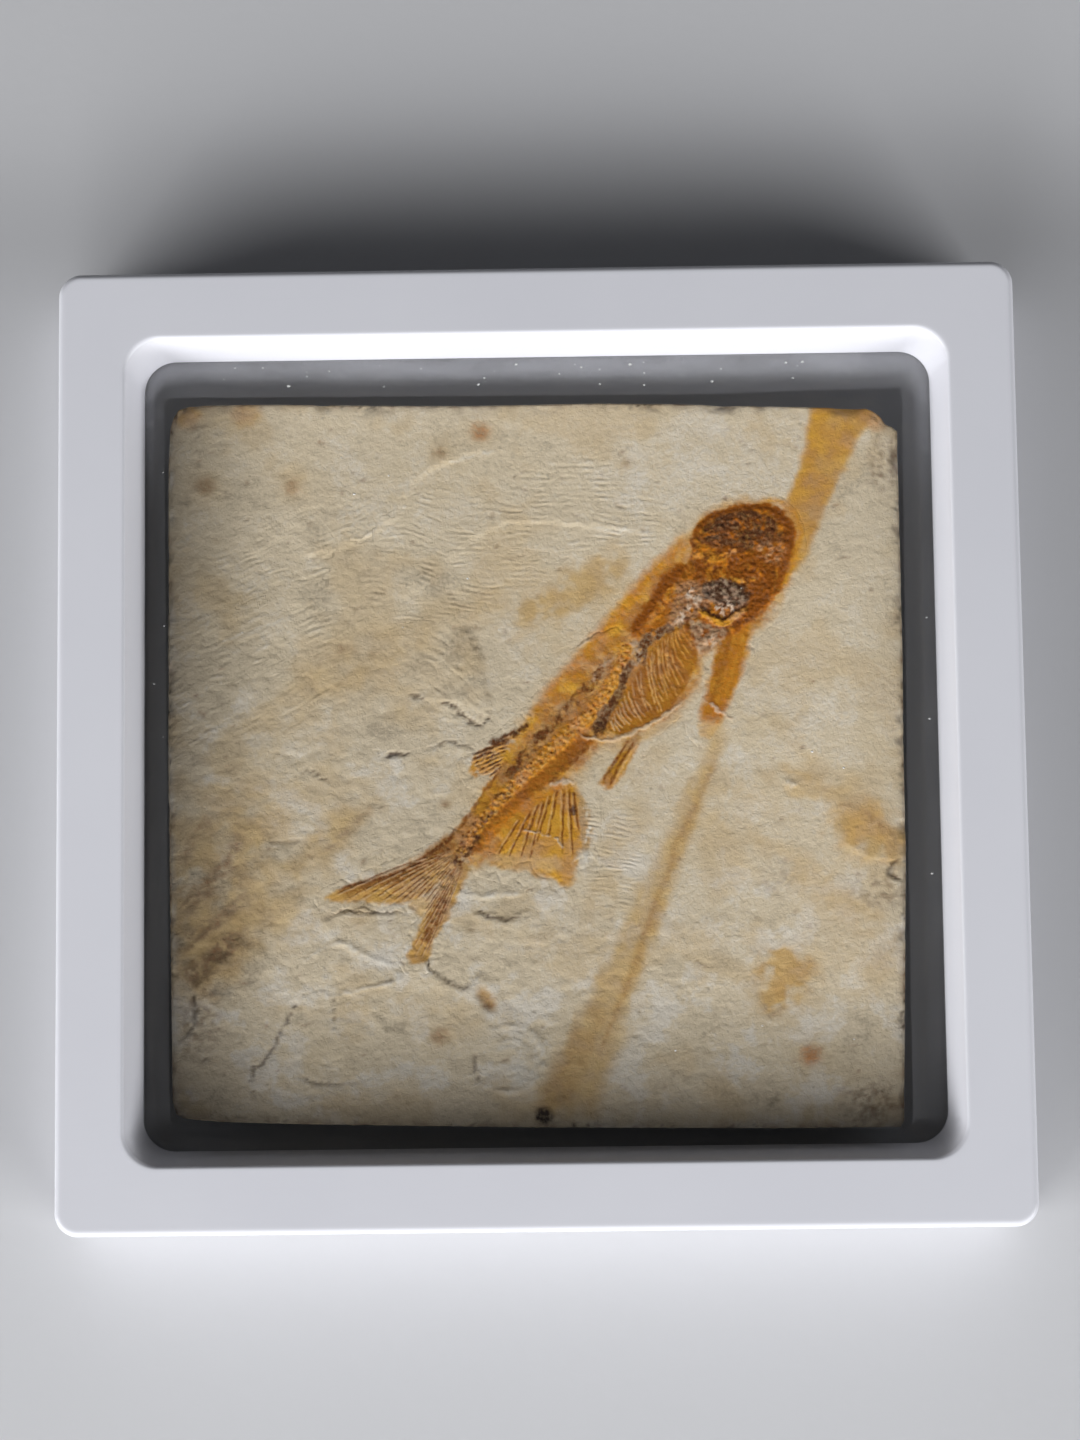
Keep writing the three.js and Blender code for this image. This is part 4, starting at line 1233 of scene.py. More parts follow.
def gill_cover(ground):
    """The dark gill cover with its glints painted as pale highlights, the forked bone below it and the
    throat.
    """
    cover = [(31, 30), (34.6, 30.9), (38.3, 29.6), (39.5, 27), (37.6, 25.8), (35, 25.8), (32.8, 26.6),
             (31, 28.2)]
    ground.region([(26.4, 30.4), (30.8, 29.9), (32.6, 27), (30.4, 24.8), (27, 23), (24.2, 22),
                   (24.6, 25.6)], soft=1.4, grain=0.14, broken=0.28, umber=0.55, rust=0.45, soot=0.08,
                  pale=0.12)
    ground.region([(28.6, 23.8), (31.6, 22.4), (35, 21.4), (33.8, 18.6), (30.6, 17.4), (28.8, 20)],
                  grain=0.08, broken=0.36, umber=0.55, rust=0.2, soot=0.1, tan=0.7, ochre=0.4, pale=0.14)
    ground.region(cover, lift=0.12, grain=0.14, umber=0.9, soot=0.66, rust=0.1, ochre=0.3)
    ground.region(cover, broken=0.56, lift=0.06, soot=0.1, umber=0.62, rust=0.3, pale=0.16)
    # painted highlights: the glints, laid as pale raised marks
    for index, (x, y, long, wide, pale) in enumerate(PAINTED_GLINTS):
        ground.blot((x, y), (1.1 * long, 1.2 * wide), 40 + 37 * index % 90, lift=0.14, ragged=(0.7, 0.5),
                    broken=0.3, pale=0.72 * pale, umber=0.1, soot=0, rust=0.4, ochre=0.3)
    fork = [(29.9, 25.7), (31.4, 24), (34.8, 22.5), (36.8, 23.9), (39.4, 25.5)]
    ground.stroke([(x + 0.1, y + 0.9) for x, y in fork], 0.7, soft=0.5, lift=-0.1, broken=0.3, **BLACK)
    ground.stroke(fork, (0.7, 1.2, 1.2, 0.8), soft=0.4, lift=0.26, grain=0.1, ochre=1, rust=0.12, umber=0,
                  soot=0, tan=0, pale=0)


def nape(ground):
    """The dark band from the back of the skull down to the backbone, and the flank beside it."""
    ground.region([(28.6, 34.2), (29.2, 30.6), (26, 26.2), (24.6, 22.6), (20.4, 20.6), (17.4, 20.2),
                   (19.2, 23.8), (25, 31.6)], lift=0.1, grain=0.1, ochre=1, rust=0.72, umber=0.4)
    band = [(28.3, 34.2), (25.4, 31.9), (23.2, 29.2), (21.2, 26), (16.8, 20.7)]
    ground.stroke(band, (1.8, 2.6, 2.2, 2.2, 1.4), soft=1.3, grain=0.08, **BURNT)
    ground.stroke([(27.4, 31.6), (24.6, 28.4), (22.4, 24.8), (19, 21.4)], (0.8, 1.6, 1.6, 0.8),
                  broken=0.42, lift=0.08, **GLOWING)


def dorsal_fin(ground):
    """The short fin on the back, dark at its front edge."""
    ground.region([(-2.6, 3.8), (-7, 1.2), (-11.6, -1.4), (-13.2, -3.6), (-12.6, -5.6), (-9.6, -5),
                   (-7, -4.4), (-5, -1.2)], broken=0.3, ochre=0.8, tan=0.6, rust=0.1, umber=0.08)
    edge = [(-1.9, 4.3), (-4, 2.7), (-9.2, 0), (-11.6, -1.9)]
    ground.stroke(edge, (1, 1, 1.5, 1.8, 0.8), lift=0.1, broken=0.34, grain=0.06, **BLACK)
    for index in range(DORSAL_RAYS):
        share = index / (DORSAL_RAYS - 1)
        root = (-6.0 - 1.4 * share, 0.4 - 4.6 * share)
        tip = (-13.2 + 3.4 * share ** 2, -2.0 - 4.0 * share ** 0.8)
        ground.stroke([root, tip], (0.28, 0.4, 0.26), soft=0.3, lift=0.12, ragged=(1.2, 0.2), broken=0.3,
                      **CLEAN_RAY)
        ground.stroke([(root[0] + 0.1, root[1] + 0.42), (tip[0] + 0.2, tip[1] + 0.42)], (0.2, 0.42, 0.28),
                      soft=0.25, lift=-0.06, ragged=(1.2, 0.2), broken=0.36, **DARK)


def anal_fin(ground):
    """The fan of dark rays below the tail stalk, over a bright web."""
    web = [(-9.6, -15.4), (-5, -12), (-1.6, -9.6), (4.5, -7.3), (6.3, -7.8), (7.4, -11.4), (8.2, -16.1),
           (6.6, -22.8), (6.2, -25.4), (3.8, -26), (-2.4, -23.6), (-6, -23), (-9, -22), (-11, -19.8)]
    ground.region(web, soft=2, ragged=(2.4, 0.7), ochre=0.82, tan=0.7, umber=0.04)
    ground.region([(-9, -15.8), (-1.6, -10), (4.5, -7.6), (6.4, -9), (6.6, -17), (2, -17.4), (-4, -16.6)],
                  soft=2.4, ochre=1, umber=0.14)
    ground.region([(-9.6, -20.4), (-3, -20.6), (2.6, -21), (3.6, -23.4), (-2, -23.4), (-7.6, -22.6)],
                  soft=1.6, strength=0.7, ochre=0.42, tan=0.6, pale=0.12, umber=0)
    ground.region([(7, -9), (9, -13), (9.4, -18), (7.6, -19.6), (7, -14)], broken=0.45, tan=0.7,
                  umber=0.28, ochre=0.3)
    for root, tip in ANAL_RAYS:
        ground.stroke([(root[0] - 0.42, root[1] - 0.1), (tip[0] - 0.42, tip[1])], (0.26, 0.36, 0.22),
                      soft=0.28, lift=0.08, ragged=(2, 0.15), broken=0.28, crumb=2, **CLEAN_RAY)
        ground.stroke([root, tip], (0.46, 0.4, 0.24), soft=0.28, ragged=(2, 0.15), broken=0.2, **BROWN)
    ground.blot((6, -12.3), (0.7, 0.9), **BLACK)
    ground.stroke([(-4, -15.9), (1.5, -17), (3.3, -18.2), (3.9, -19.8)], (0.3, 0.5, 0.3), soft=0.3,
                  lift=0.14, broken=0.35, **PALE_RIM)
    ground.stroke([(1.6, -7.6), (4, -6.9), (6.6, -7)], (0.5, 0.8, 0.4), soft=0.5, lift=0.12, **PALE_RIM)
    ground.blot((7.6, -21.4), (1.4, 2), -30, lift=0.12, broken=0.35, pale=0.5)


def tail_fin(ground):
    """The forked tail: two lobes and fine rays that fan out from its root."""
    upper = [(-14.6, -18), (-16.6, -17.1), (-20, -19.7), (-23.7, -22.3), (-28.9, -24.4), (-34, -25.6),
             (-40.2, -27.8), (-38.2, -28.9), (-33.6, -28.8), (-28.9, -29.3), (-25.2, -29), (-21.9, -27.6),
             (-17, -23.2)]
    lower = [(-16.4, -22), (-20, -27.9), (-24.5, -37.1), (-25, -40.2), (-21.5, -40), (-20.4, -36.3),
             (-17.7, -32.2), (-15.6, -27.3), (-13.4, -22.6)]
    for lobe in (upper, lower):
        ground.region(lobe, ochre=0.5, tan=0.9, umber=0.14)
    ground.region([(-16.8, -23), (-21, -27.4), (-25, -29), (-22.6, -32), (-20, -28.4)], strength=0.8,
                  **WASH)
    dark = [(-15.8, -17), (-23.7, -22.7), (-28.9, -24.9), (-34, -26), (-38.6, -27.6)]
    ground.stroke(dark, (3, 2.5, 0.8), soft=1.6, umber=0.7, ochre=0.6, rust=0.2)
    ground.stroke([(x, y + 0.6) for x, y in dark], (0.8, 0.4), soft=0.5, broken=0.3, ragged=(1.2, 0.2),
                  **DARK)
    ground.stroke([(-17, -25.6), (-18.6, -29.4), (-22.4, -37)], (1.2, 2, 2.2, 1.2), broken=0.42,
                  grain=0.06, **BROWN)
    tips = [(-39.6, -28.2), (-36.6, -28.6), (-34.2, -28.8), (-32, -28.9), (-29.9, -29.1), (-28, -29.2),
            (-26.4, -29.1), (-25, -29), (-23.6, -28.8), (-22.6, -28.8), (-22, -29.6), (-22, -31),
            (-22.6, -32.8), (-23.4, -35), (-24.2, -37.8), (-24.2, -40), (-23, -40.2), (-22, -39.4)]
    for index, tip in enumerate(tips):
        share = index / (len(tips) - 1)
        root = (-17.2 + 2.4 * share, -19.6 - 3.6 * share)
        bend = 1.1 * (0.5 - share)
        middle = (0.5 * (root[0] + tip[0]) + 0.2 * bend, 0.5 * (root[1] + tip[1]) + bend)
        ground.stroke([root, middle, tip], (0.18, 0.3, 0.22), soft=0.26, ragged=(1.8, 0.1), lift=0.1,
                      broken=0.34, crumb=2, strength=0.85, **DUSTY_RAY)
        ground.stroke([(x, y + 0.36) for x, y in (root, middle, tip)], (0.16, 0.26, 0.18), soft=0.24,
                      ragged=(1.8, 0.1), lift=-0.06, broken=0.38, strength=0.85, **BROWN)
    root_line = [(-11.6, -15.4), (-15, -20.4), (-16.2, -22.6)]
    ground.stroke(root_line, (2.4, 2.9, 2.2), soft=1.1, broken=0.48, lift=0.06, grain=0.12, **BLACK)


def paired_fins(ground):
    """The breast fins under the throat and the small belly fins."""
    breast = [(35, 22.6), (33.8, 18.2), (32.4, 14), (30.9, 7.8), (30.1, 4.6), (33.8, 4.2), (35.2, 7.2),
              (38, 14.1), (39.3, 19), (39.6, 23)]
    ground.region(breast, soft=1.8, lift=0.06, ragged=(2.4, 0.4), ochre=1, umber=0.26, rust=0.5)
    ground.stroke([(36.2, 22.4), (31.6, 6)], (2.4, 2.3, 1), soft=1.4, ragged=(2.4, 0.4), strength=0.8,
                  **RUSTY)
    for ray in ([(35.6, 22), (31, 5.2)], [(37.2, 22), (32.6, 5.6)], [(38.6, 21.4), (34, 6)]):
        ground.stroke(ray, (0.4, 0.7, 0.4), ragged=(3, 0.3), broken=0.46, crumb=3, strength=0.5,
                      **BRIGHT)
    ground.region([(30.4, 5), (29.9, 1.8), (31.8, 1), (34.1, 4.6)], soft=1.4, strength=0.8, **WARM_WASH)
    ground.stroke([(30, 8.4), (34.4, 5.6), (36.2, 4)], (0.4, 0.6, 0.5), soft=0.4, lift=0.12, broken=0.32,
                  **PALE_RIM)
    belly = [(16.6, 1.6), (14.1, -2.8), (11, -6.8), (11.8, -8), (13.4, -8.2), (16.2, -3.9), (18.8, 0.9)]
    ground.region(belly, lift=0.06, ochre=0.9, umber=0.34, rust=0.1)
    for start, end, width in (((16.6, 0.8), (11.4, -7.0), 0.6), ((17.6, 0.6), (12.7, -7.4), 0.7),
                              ((15.6, -2.0), (12.8, -7.8), 0.5)):
        ground.stroke([start, end], (0.3, width, 0.3), soft=0.4, ragged=(1.8, 0.2), broken=0.3, **BROWN)
    ground.stroke([(18.4, 0.6), (15.4, -4), (13.2, -7.9)], (0.4, 0.6, 0.4), soft=0.5, lift=0.08,
                  ragged=(1.8, 0.2), **CLEAN_RAY)


FISH_PARTS = (soft_parts, paired_fins, anal_fin, dorsal_fin, tail_fin, skull, nape, rib_cage, backbone,
              gill_cover)


def mark_fish(ground):
    """The whole fish, from its stain in the stone to the parts that lie on top."""
    ground.marks = FISH_NOISE
    for part in FISH_PARTS:
        part(ground)


# ---------------------------------------------------------------- pieces

FISH_WALLS = [
    # row and column of the block that is missing, and the first and last corner of the wall there
    ((-1, 0), (0, 0), (0, 1)),
    ((1, 0), (1, 1), (1, 0)),
    ((0, -1), (1, 0), (0, 0)),
    ((0, 1), (0, 1), (1, 1)),
]

LARGE_SPECKS = [(7.4, 73.2), (8.6, 72.6), (10.2, 71.4), (12.1, 69.0), (-8.0, 72.0), (20.5, 71.2),
                (-22.0, 72.8)]
SPECK_SIDES = 6


def build_frame_half(name, material, turned):
    """One moulded half: out from the seam, over the rim, down the window wall and round the rebate."""
    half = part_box(name)[1].x / MM
    depth = CAD_BOX[1][2] / MM
    seam = depth / 2 + SEAM_HALF_GAP
    rings = []

    def outer(inset, height):
        """A ring on the outside, moved in from the side by inset."""
        rings.append(square_ring(half - inset, OUTER_RADIUS - inset, height))

    def window(at, height):
        """A ring on the window's wall, at this distance from the middle."""
        share = (at - WINDOW_FOOT_HALF) / (WINDOW_FACE_HALF - WINDOW_FOOT_HALF)
        radius = WINDOW_FOOT_RADIUS + share * (WINDOW_FACE_RADIUS - WINDOW_FOOT_RADIUS)
        rings.append(square_ring(at, radius, height))

    outer(SEAM_CHAMFER, seam)
    outer(0.1 * SEAM_CHAMFER, seam + 0.8 * SEAM_CHAMFER)
    outer(0, seam + 1.2 * SEAM_CHAMFER)
    outer(0, depth - OUTER_ROUNDING - EASE)
    for step in range(ROUNDING_STEPS + 1):
        angle = math.pi / 2 * step / ROUNDING_STEPS
        outer(OUTER_ROUNDING * (1 - math.cos(angle)), depth - OUTER_ROUNDING * (1 - math.sin(angle)))
    outer(OUTER_ROUNDING + EASE, depth)
    window(WINDOW_FACE_HALF + EASE, depth)
    for step in range(ROUNDING_STEPS + 1):
        angle = math.pi / 2 * step / ROUNDING_STEPS
        drop = WINDOW_ROUNDING * (1 - math.cos(angle))
        window(WINDOW_FACE_HALF - WINDOW_ROUNDING * math.sin(angle), depth - drop)
    wall_top = depth - WINDOW_ROUNDING
    wall_slope = (WINDOW_FACE_HALF - WINDOW_ROUNDING - WINDOW_FOOT_HALF) / (wall_top - REBATE_HEIGHT)
    for height in (wall_top - EASE, REBATE_HEIGHT + EASE, REBATE_HEIGHT):
        window(WINDOW_FOOT_HALF + (height - REBATE_HEIGHT) * wall_slope, height)
    rebate = WINDOW_FOOT_HALF + REBATE_WIDTH
    rings.append(square_ring(rebate, WINDOW_FACE_RADIUS, REBATE_HEIGHT))
    rings.append(square_ring(rebate, WINDOW_FACE_RADIUS, seam))
    count = len(rings[0])
    points = np.vstack(rings)
    total = len(rings)
    faces = [band_faces(count, index * count, (index + 1) % total * count) for index in range(total)]
    if turned:
        points = points * [1, -1, -1] + [0, 0, depth]
    piece = new_piece(name + "_shell", points, [np.vstack(faces)], material)
    piece.data.set_sharp_from_angle(angle=math.radians(SHARP_EDGE))
    return piece


def film_rings(rim):
    """Rings of the film's upper face from its rim to its middle, that middle, and each point's dust."""
    outer = square_ring(rim, WINDOW_FACE_RADIUS, FILM_RIM_HEIGHT, FILM_SIDE_STEPS)
    foot_half = WINDOW_FOOT_HALF - FILM_FOOT_GAP
    foot = square_ring(foot_half, WINDOW_FOOT_RADIUS, FILM_RIM_HEIGHT, FILM_SIDE_STEPS)
    flat = rounded_ring(FILM_CORNERS, FILM_CORNER_RADIUS, FILM_FLAT_HEIGHT, FILM_SIDE_STEPS)
    rings = [outer, foot]
    dusty = [1.0, 1.0]
    for step in range(1, FILM_SLOPE_STEPS + 1):
        share = step / FILM_SLOPE_STEPS
        ring = foot * (1 - share) + flat * share
        ring[:, 2] -= FILM_SAG * math.sin(math.pi * share)
        rings.append(ring)
        dusty.append(1 - smooth_step(0.2, 0.6, share))
    middle = flat.mean(0)
    for share in FILM_FLAT_SHARES:
        ring = middle + (flat - middle) * share
        ring[:, 2] = FILM_FLAT_HEIGHT + 0.02 * noise(ring[:, 0], ring[:, 1], 45, 3)
        rings.append(ring)
        dusty.append(0.0)
    return rings, middle, np.append(np.repeat(dusty, len(outer)), 0.0)


def build_film(name, material, turned):
    """A stretched film: its flat rim in the seam, the slope to the slab and the part over it."""
    rings, middle, dusty = film_rings(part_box(name)[1].x / MM)
    count = len(rings[0])
    upper = np.vstack(rings + [middle[None, :]])
    shift = len(upper)
    lower = upper - [0, 0, FILM_THICKNESS]
    bands = [band_faces(count, index * count, (index + 1) * count) for index in range(len(rings) - 1)]
    quads = np.vstack(bands)
    here = np.arange(count)
    onward = (here + 1) % count
    last = (len(rings) - 1) * count
    cap = np.column_stack([last + here, last + onward, np.full(count, shift - 1)])
    edge = np.column_stack([onward, here, shift + here, shift + onward])
    quads = np.vstack([quads, quads[:, ::-1] + shift, edge])
    cap = np.vstack([cap, cap[:, ::-1] + shift])
    points = np.vstack([upper, lower])
    if turned:
        points = points * [1, 1, -1] + [0, 0, CAD_BOX[1][2] / MM]
        quads = quads[:, ::-1]
        cap = cap[:, ::-1]
    piece = new_piece(name + "_sheet", points, [quads, cap], material)
    near_top = 0.10 + 0.90 * smooth_step(45, 72, points[:, 1])
    store(piece, "dusty", np.tile(dusty, 2) * near_top)
    return piece


def spread(line, count):
    """Points evenly spaced along a line."""
    line = np.asarray(line, float)
    away = np.concatenate([[0], np.cumsum(np.hypot(*np.diff(line, axis=0).T))])
    at = np.linspace(0, away[-1], count)
    return np.column_stack([np.interp(at, away, line[:, 0]), np.interp(at, away, line[:, 1])])


def slab_grid():
    """Columns and rows of points that fill the slab's outline; arrays of rows + 1 by columns + 1."""
    across = np.linspace(0, 1, SLAB_COLUMNS + 1)[None, :, None]
    up = np.linspace(0, 1, SLAB_ROWS + 1)[:, None, None]
    bottom = spread(SLAB_BOTTOM, SLAB_COLUMNS + 1)[None, :, :]
    top = spread(SLAB_TOP, SLAB_COLUMNS + 1)[None, :, :]
    left = spread(SLAB_LEFT, SLAB_ROWS + 1)[:, None, :]
    right = spread(SLAB_RIGHT, SLAB_ROWS + 1)[:, None, :]
    corners = ((1 - across) * (1 - up) * bottom[:, :1] + across * (1 - up) * bottom[:, -1:]
               + (1 - across) * up * top[:, :1] + across * up * top[:, -1:])
    return (1 - up) * bottom + up * top + (1 - across) * left + across * right - corners


def slab_outline():
    """The slab's whole outline, counter-clockwise."""
    return np.vstack([SLAB_BOTTOM[:-1], SLAB_RIGHT[:-1], SLAB_TOP[::-1][:-1], SLAB_LEFT[::-1][:-1]])


def worn_edge(ground):
    """Chip, wear and dirty the rim of the face, and paint a highlight along its left rim."""
    away = measure(ground.x, ground.y, np.vstack([slab_outline(), SLAB_BOTTOM[:1]]))[0]
    chips = smooth_step(0.1, 0.8, rough(ground.x, ground.y, 5, 401, 3))
    ground.height -= EDGE_WEAR * np.exp(-away / 0.5) * (0.5 + 1.2 * chips)
    ground.height -= 0.5 * chips * np.exp(-(away / 1.1) ** 2)
    dirt = np.exp(-away / 0.7) * smooth_step(-0.4, 0.7, rough(ground.x, ground.y, 3, 409, 3))
    ground.stains["umber"] += 0.55 * dirt * (1 - ground.stains["umber"])
    ticks = smooth_step(0.1, 0.5, noise(ground.x, ground.y, 0.9, 411)) * np.exp(-(away / 0.9) ** 2)
    ground.stains["soot"] += 0.85 * ticks * smooth_step(-0.3, 0.4, noise(ground.x, ground.y, 14, 413))
    # painted highlight: a pale line along the left rim of the face
    painted_highlight_left_rim = smooth_step(-60, -68, ground.x) * np.exp(-((away - 0.6) / 0.5) ** 2)
    ground.stains["pale"] += 0.5 * painted_highlight_left_rim * smooth_step(-0.3, 0.5, noise(ground.x, ground.y, 6, 417))


def fish_share(ground, start, end):
    """0 outside the fish's surroundings, 1 well within them."""
    depth = depth_inside(ground.x, ground.y, smooth_line(FISH_EDGE, closed=True, steps=3))
    return smooth_step(start, end, depth + FISH_MARGIN)


def store_stains(piece, ground, cut):
    """Keep the ground's stains on the piece; its points beyond the ground are bare, and sawn if cut is 1."""
    extra = len(piece.data.vertices) - len(ground.x)
    for name in STAINS:
        rest = np.full(extra, cut if name == "cut" else 0.0)
        store(piece, name, np.concatenate([ground.stains[name], rest]))


def slab_surface():
    """The marked ground of the slab's face and its points; where the fish goes it is plain and lower."""
    grid = slab_grid()
    ground = Ground(grid[..., 0].ravel(), grid[..., 1].ravel())
    mark_slab(ground)
    level = ground.height.copy()
    mark_fish(ground)
    fish = fish_share(ground, 1.1, 2.0)
    ground.height = level * fish + ground.height * (1 - fish)
    worn_edge(ground)
    heights = SLAB_FACE - FACE_DROP + settings().relief * ground.height - FISH_DIP * fish
    return ground, np.column_stack([ground.x, ground.y, heights])


def slab_sides(edge, above, start):
    """The sawn sides: rings of points from the face's edge down to the back, and the faces between."""
    normal = np.roll(edge[:, :2], -4, axis=0) - np.roll(edge[:, :2], 4, axis=0)
    normal = np.column_stack([normal[:, 1], -normal[:, 0]])
    normal /= np.hypot(normal[:, 0], normal[:, 1])[:, None]
    around = np.cumsum(np.hypot(*(edge[:, :2] - np.roll(edge[:, :2], 1, axis=0)).T))
    rings = []
    quads = []
    for step in range(1, SLAB_SIDE_LEVELS + 1):
        share = step / SLAB_SIDE_LEVELS
        height = edge[:, 2] * (1 - share) + SLAB_BACK * share
        push = 0.10 * rough(around, height, 2.2, 421, 3) + 0.07 * noise(around, height * 0.15, 0.8, 423)
        push -= 0.45 * smooth_step(0.75, 1.0, share)
        rings.append(np.column_stack([edge[:, :2] + normal * push[:, None], height]))
        below = start + np.arange(len(edge))
        quads.append(ring_faces(above, below))
        above = below
        start += len(edge)
    return rings, quads, above


def slab_back(foot, middle, fine, start):
    """The back: rings of half as many points as the sides have, closing in from their foot to the middle."""
    base = foot[::2, :2]
    small = len(base)
    here = start + np.arange(small)
    onward = np.roll(here, -1)
    triangles = [
        np.column_stack([here, fine[1::2], fine[::2]]),
        np.column_stack([onward, np.roll(fine[::2], -1), fine[1::2]]),
        np.column_stack([here, onward, fine[1::2]]),
    ]
    rings = []
    quads = []
    for step in range(SLAB_BACK_RINGS):
        share = 1 - (step + 0.35) / SLAB_BACK_RINGS
        ring = middle + (base - middle) * share
        lumps = BACK_LUMPS * rough(ring[:, 0], ring[:, 1], 9, 431, 3)
        rings.append(np.column_stack([ring, SLAB_BACK + BACK_LUMPS + lumps]))
        here = start + np.arange(small)
        if step:
            quads.append(ring_faces(here - small, here))
        start += small
    rings.append(np.array([[middle[0], middle[1], SLAB_BACK + BACK_LUMPS]]))
    triangles.append(np.column_stack([np.roll(here, -1), here, np.full(small, start)]))
    return rings, quads, triangles


def build_slab(material):
    """The sawn plate: a finely shaped face, rough sawn edges and a plainer back."""
    ground, face = slab_surface()
    index = np.arange(len(face)).reshape(SLAB_ROWS + 1, SLAB_COLUMNS + 1)
    corners = (index[:-1, :-1], index[:-1, 1:], index[1:, 1:], index[1:, :-1])
    quads = [np.column_stack([corner.ravel() for corner in corners])]
    rim = np.concatenate([index[0, :-1], index[:-1, -1], index[-1, :0:-1], index[:0:-1, 0]])
    side_rings, side_quads, foot = slab_sides(face[rim], rim, len(face))
    middle = face[rim, :2].mean(0)
    back_rings, back_quads, triangles = slab_back(side_rings[-1], middle, foot, foot[-1] + 1)
    points = np.vstack([face, *side_rings, *back_rings])
    quads = np.vstack(quads + side_quads + back_quads)
    piece = new_piece("slab_stone", points, [quads, np.vstack(triangles)], material)
    store_stains(piece, ground, cut=1.0)
    return piece


def fish_blocks():
    """Which square blocks of the fine grid lie over the fish, joined only edge to edge."""
    outline = np.array(FISH_EDGE)
    low = outline.min(0) - FISH_MARGIN - 1
    high = outline.max(0) + FISH_MARGIN + 1
    size = FISH_SPACING * FISH_BLOCK
    columns, rows = np.ceil((high - low) / size).astype(int)
    across = low[0] + size * (np.arange(columns) + 0.5)
    up = low[1] + size * (np.arange(rows) + 0.5)
    x, y = np.meshgrid(across, up)
    line = smooth_line(FISH_EDGE, closed=True, steps=3)
    kept = depth_inside(x.ravel(), y.ravel(), line).reshape(x.shape) > -FISH_MARGIN
    kept[0] = kept[-1] = False
    kept[:, 0] = kept[:, -1] = False
    for _turn in range(20):
        a = kept[:-1, :-1]
        b = kept[:-1, 1:]
        c = kept[1:, :-1]
        d = kept[1:, 1:]
        rising = a & d & ~b & ~c
        falling = b & c & ~a & ~d
        if not rising.any() and not falling.any():
            break
        kept[:-1, 1:] |= rising
        kept[:-1, :-1] |= falling
    return kept, low


def fish_walls(kept, top, base):
    """Upright faces round the blocks, each from two base points up to the fine edge above them."""
    rows, columns = kept.shape
    padded = np.pad(kept, 1)
    run = np.arange(FISH_BLOCK, -1, -1)[:, None]
    walls = []
    for (down, across), first, last in FISH_WALLS:
        beyond = padded[1 + down:1 + down + rows, 1 + across:1 + across + columns]
        i, j = np.nonzero(kept & ~beyond)
        row = (i + first[0]) * FISH_BLOCK + (last[0] - first[0]) * run
        column = (j + first[1]) * FISH_BLOCK + (last[1] - first[1]) * run
        start = base[i + first[0], j + first[1]]
        end = base[i + last[0], j + last[1]]
        walls.append(np.column_stack([start, end, top[row, column].T]))
    return np.vstack(walls)


def build_fish(material):
    """The fish and the stone just round it, as a fine closed relief let into the slab."""
    kept, low = fish_blocks()
    cells = np.kron(kept, np.ones((FISH_BLOCK, FISH_BLOCK), bool))
    rows, columns = cells.shape
    used = np.zeros((rows + 1, columns + 1), bool)
    for down, across in ((0, 0), (0, 1), (1, 0), (1, 1)):
        used[down:rows + down, across:columns + across] |= cells
    top = np.full(used.shape, -1)
    top[used] = np.arange(used.sum())
    row, column = np.nonzero(used)
    ground = Ground(low[0] + FISH_SPACING * column, low[1] + FISH_SPACING * row)
    mark_slab(ground)
    mark_fish(ground)
    relief = settings().relief
    lift = FISH_RISE * fish_share(ground, 0.2, 1.2) - FISH_RIM_SINK
    heights = SLAB_FACE - FACE_DROP + relief * ground.height + lift
    face = np.column_stack([ground.x, ground.y, heights])
    knots = used[::FISH_BLOCK, ::FISH_BLOCK]
    base = np.full(knots.shape, -1)
    base[knots] = len(face) + np.arange(knots.sum())
    under = face[top[::FISH_BLOCK, ::FISH_BLOCK][knots]]
    swell = 0.15 * relief * noise(under[:, 0], under[:, 1], 34, 1)
    under[:, 2] = SLAB_FACE - FACE_DROP - FISH_DEPTH + swell
    i, j = np.nonzero(cells)
    quads = [np.column_stack([top[i, j], top[i, j + 1], top[i + 1, j + 1], top[i + 1, j]])]
    i, j = np.nonzero(kept)
    quads.append(np.column_stack([base[i, j], base[i + 1, j], base[i + 1, j + 1], base[i, j + 1]]))
    faces = [np.vstack(quads), fish_walls(kept, top, base)]
    piece = new_piece("fish_relief", np.vstack([face, under]), faces, material)
    store_stains(piece, ground, cut=0.0)
    return piece


def build_dust(material):
    """Specks of dust and lint on the front film, most of them near its top edge."""
    dice = np.random.default_rng(12)
    points = []
    triangles = []
    spots = list(LARGE_SPECKS)
    spots += [(dice.uniform(-60, 60), dice.uniform(68.0, 73.8)) for _each in range(26)]
    spots += [(dice.uniform(-66, 64), dice.uniform(-66, 62)) for _each in range(16)]
    spots += [(dice.choice([-1, 1]) * dice.uniform(70.5, 73.5), dice.uniform(-60, 60)) for _each in range(8)]
    for x, y in spots:
        out = max((abs(x) - 69.5) / 5.0, (abs(y) - 65.0) / 9.5, 0.0)
        height = FILM_FLAT_HEIGHT - (FILM_FLAT_HEIGHT - FILM_RIM_HEIGHT) * min(out, 1.0) + 0.02
        size = dice.uniform(0.08, 0.22)
        turn = dice.uniform(0, math.pi)
        start = len(points)
        for step in range(SPECK_SIDES):
            angle = turn + step * 2 * math.pi / SPECK_SIDES
            reach = size * dice.uniform(0.6, 1.3)
            points.append((x + reach * math.cos(angle) * 1.5, y + reach * math.sin(angle), height))
        points.append((x, y, height + 0.6 * size))
        points.append((x, y, height - 0.1))
        for step in range(SPECK_SIDES):
            after = (step + 1) % SPECK_SIDES
            triangles.append((start + step, start + after, start + SPECK_SIDES))
            triangles.append((start + after, start + step, start + SPECK_SIDES + 1))
    return new_piece("dust", np.array(points), [np.array(triangles)], material)


# ---------------------------------------------------------------- operators


def settle(piece, node=None):
    """Fix a finished piece to the object and let it stand for its CAD node."""
    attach(piece, "root")
    if node:
        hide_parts(node)


